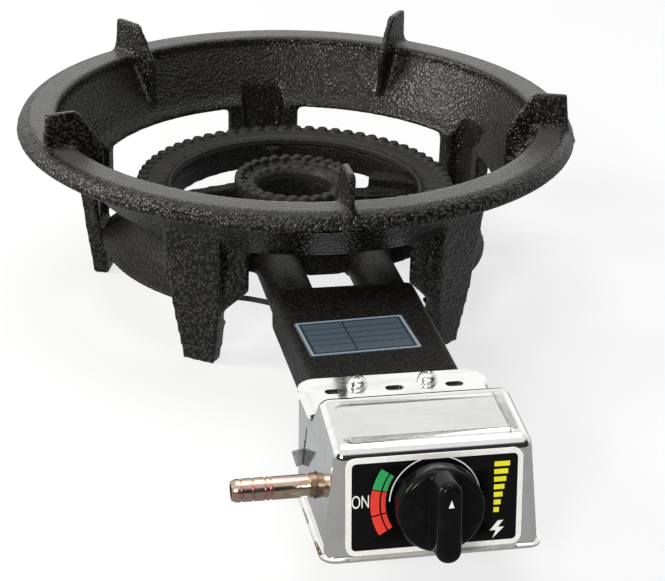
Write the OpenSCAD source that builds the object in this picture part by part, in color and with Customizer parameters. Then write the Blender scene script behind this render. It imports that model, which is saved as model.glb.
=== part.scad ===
// Outdoor gas cooker: a cast iron pan support on five legs, a double ring burner with two mixing
// tubes, and a plated control box with a push-and-turn gas valve and a piezo igniter.
// Millimetres, +Z up. The front, with the knob, faces -Y. Angles round the rings start at the front
// and grow towards +X.

/* [Pan support] */
// Outer radius of the rim
rim_r = 161.1; // [158:0.1:168]
// Height of the rim's widest edge
rim_edge_z = 101.5; // [99:0.5:104]
// Height of the rim's flat top
rim_top_z = 109.3; // [107:0.1:112]
// Width of the rim's flat top
rim_top_w = 17; // [12:0.5:20]
// Width of the rim's sloping outer face
rim_face_w = 6.5; // [4:0.5:8]
// Thickness of the funnel wall under the rim
wall_t = 4.5; // [3.5:0.1:5]
// Outer radius of the funnel's lower edge
hoop_r = 120; // [118:0.1:121]
// Height of the funnel's lower edge
hoop_z = 69.5; // [67:0.5:72]
// Number of legs, and of lugs between them
leg_count = 5; // [5:1:5]
// Width of a leg at the ground
leg_foot_w = 18.4; // [16:0.2:22]
// Width of a leg under the rim
leg_top_w = 34; // [31:0.5:38]
// Thickness of a leg's walls
leg_t = 4.5; // [3.5:0.1:5]
// Radius of a leg's outer face at the ground
leg_foot_r = 120.2; // [119:0.1:122]
// Depth of a leg's foot
leg_foot_d = 9.2; // [8:0.2:10]
// How far a leg's outer face stands outside the hoop at its top
leg_top_out = 9.44; // [7:0.04:11]
// Height of the ledges that carry the burner
ledge_z = 29.5; // [28.5:0.5:31]
// Thickness of a ledge
ledge_t = 3.5; // [2.5:0.5:5]
// Height of a lug's flat top, where the pan rests
lug_top_z = 129.3; // [124:0.1:134]
// Thickness of a lug
lug_t = 4.2; // [3.5:0.1:6]

/* [Burner] */
// Outer radius of the outer flame ring
outer_ring_r = 93.3; // [91:0.1:95]
// Inner radius of the outer flame ring
outer_ring_hole_r = 72.6; // [71:0.1:74]
// Height of the outer ring's rim
outer_ring_z = 64.4; // [63.5:0.1:65.5]
// Height of the seat under the outer ring
outer_seat_z = 60.5; // [60:0.1:61]
// Bumps round the outer ring
outer_bumps = 68; // [60:1:72]
// Height of the bumps
bump_h = 1.8; // [1:0.1:2.4]
// Flame ports in the outer ring
outer_ports = 34; // [24:1:40]
// Outer radius of the inner flame ring
inner_ring_r = 35.8; // [34.5:0.1:37]
// Inner radius of the inner flame ring
inner_ring_hole_r = 21.8; // [20.5:0.1:23]
// Height of the inner ring's outer edge
inner_ring_z = 67; // [66.5:0.1:68]
// Bumps in the inner ring's outer row
inner_bumps = 30; // [24:1:32]
// Bumps in the inner ring's inner row
inner_bumps_2 = 22; // [16:1:24]
// Flame ports in the inner ring
inner_ports = 15; // [10:1:20]
// Radius of a flame port
port_r = 1.3; // [1:0.1:1.6]
// Thickness of the burner's cast walls
cast_t = 3; // [2.6:0.1:3.4]
// Height of the outer gas trough's underside
trough_z = 46; // [45:0.5:47]
// Height of the inner gas trough's underside
hub_z = 44; // [42:0.5:46]
// Radius of the skirt's lower edge
skirt_r = 115; // [113.5:0.1:115.2]
// Mixing tube, outer radius
tube_r = 12.5; // [12:0.1:13]
// Mixing tube, bore radius
tube_bore_r = 8.5; // [7.5:0.1:9]
// Half the distance between the mixing tubes
tube_x = 25; // [23:0.5:26]
// Height of the mixing tubes' axes
tube_z = 50.5; // [50:0.1:51]
// Radius of a mixing tube's air mouth
mouth_r = 11; // [10:0.1:11.4]
// Half width of the neck next to the burner
neck_w = 38; // [37.6:0.1:39]
// Height of the neck's flat top
neck_top = 63.5; // [63.2:0.1:64]
// Height of the neck's underside
neck_low = 38; // [37.5:0.1:38]
// Distance from the ring axis to the back of the neck
neck_back = 144; // [138:1:150]
// Distance from the ring axis to the neck's front end
neck_front = 268; // [266:0.5:269]

/* [Control box] */
// Sheet thickness of the box
sheet_t = 1.2; // [0.8:0.1:1.5]
// Width of the box at the top
box_top_w = 88.4; // [86:0.2:92]
// Width of the box at the bottom
box_low_w = 97; // [95:0.5:100]
// Height of the box's back edge
box_back_z = 82.3; // [80:0.1:85]
// Height of the box's front edge
box_front_z = 77; // [75:0.1:78.5]
// Distance from the ring axis to the box's top back edge
box_back = 299; // [297:0.5:301]
// Height of the box's lower edge
box_low_z = 27; // [25:0.5:28]
// Radius of the box's edges
box_edge_r = 5; // [4:0.5:6]
// Width of the flared lip
lip_w = 1.8; // [1:0.1:2.5]
// Tilt of the front face from upright, in degrees
face_tilt = 8; // [6:0.5:10]
// Distance from the ring axis to the spindle's hole in the face
face_y = 343.7; // [342:0.1:346]
// Height of the spindle's hole
face_z = 51.9; // [51:0.1:53]
// Width of the faceplate
plate_w = 79; // [76:0.5:81]
// Height of the faceplate
plate_h = 45.5; // [44:0.5:46.5]
// Thickness of the faceplate
plate_t = 0.8; // [0.5:0.1:1.2]
// Thickness of the base plate
base_t = 1.2; // [0.8:0.1:1.5]
// Width of the rating plate
rating_w = 56.5; // [50:0.5:60]
// Depth of the rating plate
rating_d = 37.5; // [30:0.5:39]
// Thickness of the rating plate
rating_t = 0.5; // [0.3:0.1:0.8]

/* [Valve and knob] */
// Radius of the knob's disc
knob_r = 19.4; // [18:0.1:20]
// Thickness of the knob's disc
knob_disc_t = 10.7; // [9:0.1:12]
// Height of the knob's front above the face
knob_front = 29; // [26:0.1:31]
// Width of the knob's grip bar
grip_w = 11.3; // [10.5:0.1:13]
// How far the knob pushes in
push_travel = 3; // [2:0.1:3.2]
// Radius of the spindle
spindle_r = 3; // [2.6:0.1:3.1]
// Radius of the valve plug
plug_r = 7; // [6.6:0.1:7.4]
// Radius of the valve body's barrel
valve_r = 11.5; // [11:0.1:12]
// Radial running clearance of the turning and sliding parts
run_gap = 0.05; // [0.03:0.01:0.08]
// Radial clearance of the fixed screws and spigots
fix_gap = 0.05; // [0.03:0.01:0.08]
// Outer radius of the gas inlet pipe
inlet_r = 5.25; // [4.75:0.05:5.5]
// Distance from the middle of the valve to the end of the inlet pipe
inlet_reach = 85; // [80:0.5:95]
// Radius of the cam's low point
cam_r = 8; // [7.8:0.1:8.4]
// How far the cam pushes the igniter's plunger
cam_lift = 4; // [3:0.1:4.4]
// Turn of the valve from off to its stop, in degrees
valve_turn = 120; // [90:5:130]

/* [Igniter] */
// Length of the igniter's case
igniter_l = 24; // [22:0.5:25]
// Radius of the igniter's plunger
plunger_r = 2.5; // [2:0.1:2.8]
// Diameter of the ignition lead
lead_d = 3; // [2.6:0.1:3.2]
// Radius of the electrode's ceramic sleeve
ceramic_r = 3.5; // [3:0.1:3.8]
// Radius of the electrode's wire
electrode_r = 0.9; // [0.7:0.05:1.1]
// Place of the electrode between the outer ring and the legs, as a share of the way
electrode_share = 0.35; // [0.3:0.05:0.5]
// Place of the electrode round the ring, in degrees
electrode_a = -33; // [-34:0.5:-32]

/* [Hidden] */
$fn = 96;
eps = 0.01;

// Angle between neighbouring legs
leg_step = 360 / leg_count;
// Half of it, where the first leg stands
leg_first = leg_step / 2;
// Radius of the flat top's outer and inner edges
rim_top_r = rim_r - rim_face_w + 0.4;
rim_in_r = rim_top_r - rim_top_w;
// Height of the rim's underside at its edge, and of the funnel's top
rim_under_z = rim_edge_z - 2;
funnel_top_z = rim_edge_z - 4.5;
// Radius of a leg's side walls' back edges
leg_back_r = hoop_r - wall_t;
leg_back = leg_back_r - 0.6;
leg_top_z = 88;
wing_z = 46;
wing_low_z = 32;
// How far the plates beside a leg reach round, in degrees from its middle
wing_side = 11;
wing_front = 13.7;
foot_pad_t = 4;
lug_proud = 0.5;
// Height of the upright band at the funnel's lower edge
hoop_band = 1.5;

// Radius of the grip bar's nose
grip_nose_r = 4;
// Distance of the knob's furthest point from the ring axis
front_reach = face_y + (knob_front - grip_nose_r) * cos(face_tilt)
    + (knob_r - grip_nose_r) * sin(face_tilt) + grip_nose_r;
// The rings stand behind the middle, so that the origin is under the middle of the whole
ring_y = (front_reach - rim_r) / 2;

// Flame rings and troughs
ring_lip = 1.2;
outer_lip_r = outer_ring_r - cast_t - 0.4;
outer_lip_in_r = outer_ring_hole_r + cast_t + 0.4;
band_r = outer_ring_r - 6.5;
port_zone_r = outer_ring_r - 12.4;
port_zone_in_r = outer_ring_hole_r + 2.4;
band_drop = 0.8;
port_drop = 1.6;
outer_port_ring_r = (port_zone_r + port_zone_in_r) / 2;
hub_outer_top = inner_ring_z - 5;
hub_inner_top = inner_ring_z - 9.5;
inner_hole_top = inner_ring_z - 5.5;
inner_groove_r = inner_ring_r - 5;
inner_port_r = inner_ring_r - 6.2;
skirt_a0 = 40.5;
skirt_a1 = 111.5;
duct_w = 11;
duct_top = 55;
duct_t = 3;
arm_low = 44;

// Mouths and shutters
shutter_t = 1.2;
shutter_gap = 0.4;
shutter_r = mouth_r + 1.5;
shutter_slots = 9;
slot_share = 0.45;
slot_in_r = 6;
collar_r = 4.5;
mouth_wall_t = 3;
mouth_taper = 13;
lever_a = 196;
lever_travel = 20;
lever_bend_x = 17;
lever_bend_y = 16;
slot_out = max(box_low_w, box_top_w) / 2 + 4;
lever_reach = slot_out - tube_x;
lever_w = 8;

// Control box
flange_z = neck_top;
flange_back = 249;
flange_r = 12;
flange_w_half = 43;
slot_in = min(flange_w_half, box_low_w / 2) - sheet_t - 0.3;
screw_x = 17;
screw_y = 258;
side_back_top = 262;
side_back_low = 281;
washer_t = 1;
washer_r = 5;
box_screw_r = 2.4;
box_screw_head_r = 4.3;
box_screw_head_h = 3.2;
box_screw_bite = 4;
gusset = 9;
base_screw_r = 1.4;
base_screw_head_r = 2.8;
base_screw_head_h = 1.8;
base_front = 345;
base_w_half = box_low_w / 2 - sheet_t - 2.4;
hole_r = 7.2;

// Valve stack, measured along the spindle from the face, outwards positive
knob_back = push_travel + 1.3;
cover_front = -11.5;
cover_t = 2.5;
valve_front = cover_front - cover_t;
valve_back = -46;
spigot_end = -52;
spigot_r = 4.5;
plug_end = valve_front - 24.7;
plug_face_gap = 0.3;
neck_tube_r = 4.95;
neck_tube_end = -5.5;
cam_back = -8;
cam_hub_gap = 0.02;
gas_z = -30.5;
inlet_up = -2;
spindle_in = -22;
spindle_out = 14;
pin_r = 1;
pin_z = -10.6;
flat_cut = 0.9;
spring_wire = 0.9;
spring_r = 4.2;
spring_turns = 5;
spring_pocket_r = 5.2;
spring_top = 7;
flange_half = 13;
cover_screw_r = 1.5;
cover_screw_at = 10;
boss_r = 8;
manifold_back = neck_front + 11;
manifold_front = manifold_back + 12;
manifold_low = 41;
manifold_top = neck_top - 1.2;
manifold_half = 33;
passage_r = 2.5;
bolt_x = 5.5;
bolt_z = 57.3;
bolt_r = 2.4;
bolt_head_r = 3.9;
bolt_head_h = 3.8;
bolt_bite = 9;
injector_thread_r = 4;
injector_thread_l = 7;
hex_r = 7.2;

// Igniter, in the valve's frame
igniter_x = 17;
igniter_h = 18;
igniter_front = -2.6;
plunger_z = -6.75;
plunger_tip_gap = 0.35;
plunger_end = 29;
plunger_bore_end = igniter_x + 19.5;
terminal_x = 36;

// Electrode
bracket_t = 1.5;
bracket_w = 10;
sleeve_low = 38.5;
sleeve_top = 57;
// Way between the outer ring and the legs' backs, which the electrode stands in
electrode_way = leg_back_r - outer_ring_r;
electrode_at = outer_ring_r + electrode_share * electrode_way;
sleeve_flange_r = max(ceramic_r + 0.1, 0.225 * electrode_way);
electrode_tip_z = outer_ring_z + 0.4;
bracket_in_r = outer_ring_r - 13.3;
bracket_screw_r = outer_ring_r - 9.3;

// Route of the ignition lead, from the igniter's terminal to the foot of the ceramic sleeve
lead_low = neck_low - lead_d / 2 - 0.3;
lead_start = valve_point([terminal_x, -igniter_h / 2, plunger_z]);
electrode_x = electrode_at * sin(electrode_a);
electrode_y = -electrode_at * cos(electrode_a);
lead_route = [
    lead_start, lead_start + [0, 0.3, -5], [35.5, -334, 33], [33, -322, 31.6], [26, -306, 31.5],
    [12, -290, 31.6], [-4, -278, 31.8], [-17, -268, 33], [-23.5, -258, 35.2],
    [-tube_x, -248, lead_low], [-tube_x, -200, lead_low], [-tube_x, -150, lead_low],
    [-tube_x, -122, lead_low], [-29, -106, 35.6], [-40, -94, 34.2], [-50, -87, 33.2],
    [electrode_x + 0.5, electrode_y - 0.3, 35], [electrode_x, electrode_y, sleeve_low]
];

// A point of the valve's frame, in the frame of the rings
function valve_point(p) = [
    p[0],
    -face_y + p[1] * sin(face_tilt) - p[2] * cos(face_tilt),
    face_z + p[1] * cos(face_tilt) + p[2] * sin(face_tilt)
];

function unit(v) = v / norm(v);

// Points of an arc in the plane
function arc(c, r, a0, a1, n) = [for (i = [0:n]) c + r * [cos(a0 + (a1 - a0) * i / n), sin(a0 + (a1 - a0) * i / n)]];

// Outline of a rectangle with round corners
function round_rect(w, h, r) = concat(
    arc([w / 2 - r, h / 2 - r], r, 0, 90, 8), arc([-w / 2 + r, h / 2 - r], r, 90, 180, 8),
    arc([-w / 2 + r, -h / 2 + r], r, 180, 270, 8), arc([w / 2 - r, -h / 2 + r], r, 270, 360, 8));

// A smooth curve through a list of points, with steps points for each stretch
function curve_point(p, i, t) =
    let (a = p[max(i - 1, 0)], b = p[i], c = p[i + 1], d = p[min(i + 2, len(p) - 1)])
    0.5 * (2 * b + (c - a) * t + (2 * a - 5 * b + 4 * c - d) * t * t + (3 * b - a - 3 * c + d) * t * t * t);
function smooth(p, steps) = concat(
    [for (i = [0:len(p) - 2], s = [0:steps - 1]) curve_point(p, i, s / steps)], [p[len(p) - 1]]);

// A tube swept along points, square to the stated directions at its ends
module sweep(p, r, sides, up) {
    n = len(p);
    rings = [for (i = [0:n - 1])
        let (
            t = unit(p[min(i + 1, n - 1)] - p[max(i - 1, 0)]),
            u = unit(cross(t, up)),
            v = cross(t, u)
        )
        for (k = [0:sides - 1]) p[i] + r * (u * cos(360 * k / sides) + v * sin(360 * k / sides))];
    walls = [for (i = [0:n - 2], k = [0:sides - 1], h = [0:1])
        let (a = i * sides + k, b = i * sides + (k + 1) % sides)
        h == 0 ? [a, b, b + sides] : [a, b + sides, a + sides]];
    caps = [[for (k = [sides - 1:-1:0]) k], [for (k = [0:sides - 1]) (n - 1) * sides + k]];
    polyhedron(rings, concat(walls, caps));
}

// Points of a coil along +Z
function coil(r, z0, z1, turns, per) = [for (i = [0:turns * per])
    [r * cos(360 * i / per), r * sin(360 * i / per), z0 + (z1 - z0) * i / (turns * per)]];
coil_steps = 10;
// Least gap between neighbouring turns of a coil
function coil_gap(z0, z1, turns, wire) = (z1 - z0) / turns - wire;

// Puts the rings' frame where the origin asks for it
module place() {
    translate([0, ring_y, 0]) children();
}

// Turns a piece drawn along +X to a direction round the rings
module around(a) {
    rotate([0, 0, a - 90]) children();
}

// A stretch of a revolved outline, from one direction to another
module sector(a0, a1) {
    around(a0) rotate_extrude(angle = a1 - a0) children();
}

// Draws an outline of radius and height as a plate standing in the radial plane
module radial_plate(t) {
    rotate([90, 0, 0]) linear_extrude(t, center = true) children();
}

// Draws an outline of width and height, pushed outwards along the radius
module tangent_plate(r0, r1) {
    translate([r0, 0, 0]) rotate([90, 0, 90]) linear_extrude(r1 - r0) children();
}

// The frame of the valve: +Z out of the front face, +Y up it
module valve_frame() {
    translate([0, -face_y, face_z]) rotate([90 - face_tilt, 0, 0]) children();
}

// The frame of a mixing tube's axis at the neck's front end: +Z towards the burner
module mouth_frame(side) {
    translate([side * tube_x, -neck_front, tube_z]) rotate([-90, 0, 0]) children();
}

// A leg leans out from its foot to its top, under the rim
function leg_face(z) = leg_foot_r + (hoop_r + leg_top_out - leg_foot_r) * z / leg_top_z;
function leg_inside(z) = min(leg_back, leg_face(z) - leg_t - 3.5);

// The three sizes of a leg's outline, less an inset
module leg_front_outline(inset) {
    f = leg_foot_w / 2 - inset;
    t = leg_top_w / 2 - inset;
    polygon([
        [-f, 0], [f, 0], [f + (t - f) * 0.64, 32], [t - 0.5, 60], [t, leg_top_z],
        [-t, leg_top_z], [-t + 0.5, 60], [-f - (t - f) * 0.64, 32]
    ]);
}

module leg_solid() {
    intersection() {
        tangent_plate(90, 150) leg_front_outline(0);
        radial_plate(60) polygon([
            [leg_foot_r - leg_foot_d, 0], [leg_foot_r, 0], [leg_face(leg_top_z), leg_top_z],
            [leg_back + 7.5, hoop_z + 8], [leg_back + 1.5, hoop_z], [leg_back, hoop_z - 3],
            [leg_inside(ledge_z - 0.5), ledge_z - 0.5], [leg_foot_r - leg_foot_d, ledge_z - 6]
        ]);
    }
}

module leg_hollow() {
    intersection() {
        tangent_plate(90, 150) leg_front_outline(leg_t);
        radial_plate(60) polygon([
            [100, foot_pad_t], [leg_face(foot_pad_t) - leg_t, foot_pad_t],
            [leg_face(leg_top_z - 1) - leg_t, leg_top_z - 1], [100, leg_top_z - 1]
        ]);
    }
}

module leg_ledge() {
    f = leg_foot_w / 2 - leg_t;
    half = f + (leg_top_w - leg_foot_w) / 2 * 0.64 * ledge_z / 32 + 0.4;
    translate([leg_foot_r - leg_foot_d - 3, -half, ledge_z - ledge_t])
        cube([leg_face(ledge_z) - leg_t + 0.6 - leg_foot_r + leg_foot_d + 3, 2 * half, ledge_t]);
}

// Cuts the curved plate beside a leg down to its slanting lower edge; side is 1 or -1
module wing_cut(side, reach) {
    w = (hoop_r - wall_t / 2) * sin(reach);
    leg_half = leg_foot_w / 2 + (leg_top_w - leg_foot_w) / 2 * 0.6;
    tangent_plate(90, 150) polygon([
        [side * (w + 1), wing_z + 1], [side * leg_half, wing_low_z], [side * (leg_half - 4), wing_low_z],
        [side * (leg_half - 4), wing_low_z - 4], [side * (w + 1), wing_low_z - 4]
    ]);
}

// The rim and its funnel, with plates left beside each leg below the windows
module rim_and_wings() {
    difference() {
        rim();
        for (i = [0:leg_count - 1]) {
            a = leg_first + i * leg_step;
            before = i == 0 ? wing_front : wing_side;
            after = i == leg_count - 1 ? wing_front : wing_side;
            sector(a + after, a + leg_step - after)
                translate([leg_back_r - 5, wing_low_z - 5]) square([wall_t + 10, hoop_z - wing_low_z + 5]);
            around(a) wing_cut(-1, before);
            around(a) wing_cut(1, after);
        }
    }
}

// A pan lug: an upright plate on the rim, with a foot that runs down the rim's outer face
module lug() {
    step = rim_in_r + 0.1;
    radial_plate(lug_t) polygon([
        [rim_top_r - 0.5, lug_top_z], [step, lug_top_z], [step - 3.5, lug_top_z - 1.8],
        [step - 7, lug_top_z - 7.4], [step - 15, lug_top_z - 19.4], [step - 16.6, lug_top_z - 25.5],
        [step - 16.8, hoop_z + 15], [hoop_r + 4, hoop_z + 8], [rim_in_r, funnel_top_z + 2],
        [rim_r - 3, rim_edge_z - 0.8], [rim_r + lug_proud, rim_edge_z + 0.4], [rim_top_r + 1.6, rim_top_z + 1.9]
    ]);
}

module rim() {
    rotate_extrude($fn = 180) polygon([
        [rim_in_r, rim_top_z - 4.8], [rim_in_r, rim_top_z], [rim_top_r, rim_top_z],
        [rim_top_r + 3.4, rim_top_z - 2.2], [rim_r, rim_edge_z], [rim_r - 1.1, rim_under_z],
        [rim_r - 15, rim_under_z - 3.5], [hoop_r + 20.5, rim_under_z - 4.5],
        [hoop_r + 5.5, hoop_z + 7.5], [hoop_r, hoop_z + hoop_band], [hoop_r, wing_low_z],
        [leg_back_r, wing_low_z], [leg_back_r, hoop_z + hoop_band + 0.5], [hoop_r + 1.2, hoop_z + 8],
        [hoop_r + 15.6, rim_top_z - 8.6]
    ]);
}

module pan_support() {
    color("dimgray") {
        difference() {
            union() {
                rim_and_wings();
                for (i = [0:leg_count - 1]) {
                    around(leg_first + i * leg_step) leg_solid();
                    around(i * leg_step) lug();
                }
            }
            for (i = [0:leg_count - 1]) around(leg_first + i * leg_step) leg_hollow();
        }
        for (i = [0:leg_count - 1]) around(leg_first + i * leg_step) leg_ledge();
    }
}

// Outline of the bell-shaped skirt, radius and height
module skirt_outline() {
    t = cast_t;
    polygon([
        [outer_ring_r - t, outer_seat_z], [outer_ring_r, outer_seat_z], [outer_ring_r + 0.6, outer_seat_z - 5],
        [outer_ring_r + 3, 49], [outer_ring_r + 8, 41.5], [skirt_r - 6, 34.5], [skirt_r, ledge_z],
        [skirt_r - 3.6, ledge_z], [skirt_r - 9, 33.8], [outer_ring_r + 5, 39.5], [outer_ring_r, 47.5],
        [outer_ring_r - t + 0.4, 54]
    ]);
}

module troughs() {
    rotate_extrude($fn = 144) polygon([
        [outer_ring_hole_r, trough_z], [outer_ring_r, trough_z], [outer_ring_r, outer_seat_z],
        [outer_ring_r - cast_t, outer_seat_z], [outer_ring_r - cast_t, trough_z + cast_t],
        [outer_ring_hole_r + cast_t, trough_z + cast_t], [outer_ring_hole_r + cast_t, outer_seat_z],
        [outer_ring_hole_r, outer_seat_z]
    ]);
    rotate_extrude($fn = 96) polygon([
        [inner_ring_hole_r, hub_z - 3], [inner_ring_hole_r + cast_t, hub_z], [inner_ring_r - 0.5, hub_z],
        [inner_ring_r - 0.5, hub_outer_top], [inner_ring_r - 0.5 - cast_t, hub_outer_top],
        [inner_ring_r - 0.5 - cast_t, hub_z + cast_t], [inner_ring_hole_r + cast_t, hub_z + cast_t],
        [inner_ring_hole_r + cast_t, hub_inner_top], [inner_ring_hole_r, hub_inner_top]
    ]);
}

// A cast arm between two points given by radius, angle and top height
module arm(r0, a0, r1, a1, w, low, top0, top1) {
    p = r0 * [sin(a0), -cos(a0)];
    q = r1 * [sin(a1), -cos(a1)];
    d = q - p;
    translate([p[0], p[1], 0]) rotate([0, 0, atan2(d[1], d[0])])
        radial_plate(w) polygon([[0, low], [norm(d), low], [norm(d), top1], [0, top0]]);
}

module neck_solid() {
    mid = (neck_top + neck_low) / 2;
    intersection() {
        translate([0, -neck_back, mid]) rotate([90, 0, 0])
            linear_extrude(neck_front - neck_back) polygon(round_rect(2 * neck_w, neck_top - neck_low, 5));
        translate([0, 0, neck_low - 1]) linear_extrude(neck_top - neck_low + 2) polygon([
            [-neck_w, -neck_back + 1], [neck_w, -neck_back + 1],
            [neck_w - 2, -neck_front - 1], [-neck_w + 2, -neck_front - 1]
        ]);
    }
}

// Windows in the cast end wall of a mouth, and in the shutter in front of it
module shutter_windows(t) {
    for (i = [0:shutter_slots - 1])
        rotate([0, 0, i * 360 / shutter_slots]) rotate_extrude(angle = 360 / shutter_slots * slot_share)
            translate([slot_in_r, 0]) square([mouth_r - 0.6 - slot_in_r, t]);
}

module burner_body() {
    tube_start = neck_back + 2;
    color("#3a3a3a") difference() {
        union() {
            troughs();
            for (s = [0, 1]) mirror([s, 0, 0]) difference() {
                sector(skirt_a0, skirt_a1) skirt_outline();
                around(45) tangent_plate(95, 120) polygon([[2, 40], [16, 40], [14, 54], [4, 54]]);
            }
            // Mixing tubes, from the neck to the outer trough, and the duct on to the inner one
            for (s = [-1, 1]) translate([s * tube_x, -tube_start, tube_z]) rotate([-90, 0, 0])
                cylinder(r = tube_r, h = tube_start - 80);
            translate([tube_x - duct_w, -84, trough_z - 6]) cube([2 * duct_w, 57, duct_top - trough_z + 6]);
            neck_solid();
            // Boss that carries the manifold
            translate([-10, -neck_front - 11, tube_z - 1]) cube([20, 12, neck_top - tube_z + 0.8]);
            // Arms that hold the inner ring
            arm(30, -116, 75, -100, 9, arm_low, 60, 54);
            arm(30, 112, 75, 97, 14, arm_low, 52, 52);
            arm(52, 110, 74, 97, 12, arm_low + 4, 60, 60);
            // Lifting nubs
            around(180) translate([outer_ring_hole_r - 3, -3, trough_z + 4]) cube([4, 6, outer_seat_z - trough_z - 6]);
        }
        // Seat under the outer ring
        translate([0, 0, outer_seat_z]) rotate_extrude($fn = 144)
            translate([outer_ring_hole_r - 1, 0]) square([outer_ring_r - outer_ring_hole_r + 2, 12]);
        // Inside of the inner trough, and the open middle
        translate([0, 0, hub_z + cast_t]) rotate_extrude()
            translate([inner_ring_hole_r + cast_t, 0]) square([inner_ring_r - inner_ring_hole_r - 2 * cast_t - 0.5, 20]);
        translate([0, 0, hub_z - 10]) cylinder(r = inner_ring_hole_r, h = 40);
        // Outer trough's inside, left open where the left tube enters and closed round the right one
        difference() {
            translate([0, 0, trough_z + cast_t]) rotate_extrude($fn = 144)
                translate([outer_ring_hole_r + cast_t, 0]) square([outer_ring_r - outer_ring_hole_r - 2 * cast_t, 20]);
            translate([tube_x - duct_w - 1, -100, trough_z])
                cube([2 * duct_w + 2, 40, outer_seat_z - ring_lip - 0.5 - trough_z]);
        }
        // Bores of the mixing tubes
        mouth_frame(-1) translate([0, 0, mouth_wall_t]) cylinder(r = tube_bore_r, h = neck_front - 83);
        mouth_frame(1) translate([0, 0, mouth_wall_t]) cylinder(r = tube_bore_r, h = neck_front - 82);
        translate([tube_x - duct_w + duct_t, -90, trough_z - 6 + duct_t])
            cube([2 * (duct_w - duct_t), 61, duct_top - trough_z + 6 - 2 * duct_t]);
        for (s = [-1, 1]) mouth_frame(s) {
            translate([0, 0, mouth_wall_t]) cylinder(r1 = mouth_r, r2 = tube_bore_r, h = mouth_taper);
            translate([0, 0, -eps]) shutter_windows(mouth_wall_t + 2 * eps);
            translate([0, 0, -1]) cylinder(r = collar_r + fix_gap, h = mouth_wall_t + 2);
        }
        // Relief under the neck, between the bores
        translate([-12, -neck_front + 12, neck_low - 1]) cube([24, neck_front - neck_back - 18, neck_top - neck_low - 5]);
        // Threaded holes: box screws, manifold bolts and the electrode's bracket
        for (s = [-1, 1]) {
            translate([s * screw_x, -screw_y, neck_top - box_screw_bite - 0.5])
                cylinder(r = box_screw_r + fix_gap, h = box_screw_bite + 2);
            translate([s * bolt_x, -manifold_back - 1, bolt_z]) rotate([-90, 0, 0])
                cylinder(r = bolt_r + fix_gap, h = bolt_bite + 1.5, $fn = 32);
        }
        around(electrode_a) translate([bracket_screw_r, 0, trough_z - 1])
            cylinder(r = cover_screw_r + fix_gap, h = cast_t + 0.4, $fn = 32);
    }
}

module bump_row(count, r, bump_r, z, h) {
    for (i = [0:count - 1]) around(i * 360 / count) translate([r, 0, z - 0.5])
        cylinder(r = bump_r, h = h + 0.5, $fn = 16);
}

module outer_flame_ring() {
    color("dimgray") difference() {
        union() {
            rotate_extrude($fn = 144) polygon([
                [outer_ring_hole_r, outer_seat_z], [outer_lip_in_r, outer_seat_z],
                [outer_lip_in_r, outer_seat_z - ring_lip], [outer_lip_r, outer_seat_z - ring_lip],
                [outer_lip_r, outer_seat_z], [outer_ring_r, outer_seat_z], [outer_ring_r, outer_ring_z],
                [band_r, outer_ring_z], [port_zone_r, outer_ring_z - band_drop],
                [port_zone_r, outer_ring_z - port_drop], [port_zone_in_r, outer_ring_z - port_drop],
                [port_zone_in_r, outer_ring_z], [outer_ring_hole_r, outer_ring_z]
            ]);
            bump_row(outer_bumps, outer_ring_r - 3.3, 3.1, outer_ring_z, bump_h);
        }
        for (i = [0:outer_ports - 1]) around((i + 0.5) * 360 / outer_ports)
            translate([outer_port_ring_r, 0, outer_seat_z - 2]) cylinder(r = port_r, h = 8, $fn = 16);
    }
}

module inner_flame_ring() {
    t = cast_t + 0.5;
    color("dimgray") difference() {
        union() {
            rotate_extrude($fn = 96) polygon([
                [inner_ring_hole_r, hub_inner_top], [inner_ring_hole_r + t, hub_inner_top],
                [inner_ring_r - t - 0.4, hub_outer_top - 0.8], [inner_ring_r - t - 0.4, hub_outer_top],
                [inner_ring_r, hub_outer_top], [inner_ring_r, inner_ring_z], [inner_groove_r + 0.6, inner_ring_z],
                [inner_groove_r, inner_ring_z - 2], [inner_groove_r - 2.4, inner_ring_z - 2.4],
                [inner_groove_r - 2.8, inner_ring_z - 2], [inner_ring_hole_r + 2, inner_ring_z - 3],
                [inner_ring_hole_r, inner_hole_top]
            ]);
            bump_row(inner_bumps, inner_ring_r - 2.7, 2.4, inner_ring_z, bump_h);
            bump_row(inner_bumps_2, inner_ring_hole_r + 3.8, 1.9, inner_ring_z - 2.9, 1.3);
        }
        for (i = [0:inner_ports - 1]) around((i + 0.5) * 360 / inner_ports)
            translate([inner_port_r, 0, hub_inner_top - 2]) cylinder(r = port_r, h = 14, $fn = 16);
    }
}

// Height of a sphere's centre on a line parallel to the front face, r inside it
function face_inside(z, r) = -face_y + (z - face_z) * tan(face_tilt) + r / cos(face_tilt);

// Solid form of the box, with its edges rounded to radius r about the same centres
module box_form(r) {
    c = box_edge_r;
    hull() for (s = [-1, 1]) {
        translate([s * (box_top_w / 2 - c), -box_back - c, box_back_z - c]) sphere(r, $fn = 32);
        translate([s * (box_top_w / 2 - c), face_inside(box_front_z - c, c), box_front_z - c]) sphere(r, $fn = 32);
        translate([s * (box_low_w / 2 - c), -side_back_low - c, box_low_z]) sphere(r, $fn = 32);
        translate([s * (box_low_w / 2 - c), face_inside(box_low_z, c), box_low_z]) sphere(r, $fn = 32);
    }
}

// The lower stretch behind it, that closes round the neck's end
module box_tail(inset, open) {
    hull() {
        translate([-flange_w_half + inset, -box_back - 8, flange_z + sheet_t - inset - 0.1])
            cube([2 * (flange_w_half - inset), box_back + 8 - side_back_top + open, 0.1]);
        translate([-box_low_w / 2 + inset, -box_back - 8, box_low_z - open])
            cube([box_low_w - 2 * inset, box_back + 8 - side_back_low + open, 0.1]);
    }
}

module box_tabs() {
    for (s = [-1, 1], y = [330, 297]) translate([s > 0 ? box_low_w / 2 - gusset - 1 : -box_low_w / 2 + 1, -y - gusset / 2,
        box_low_z + base_t]) cube([gusset, gusset, sheet_t]);
}

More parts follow.
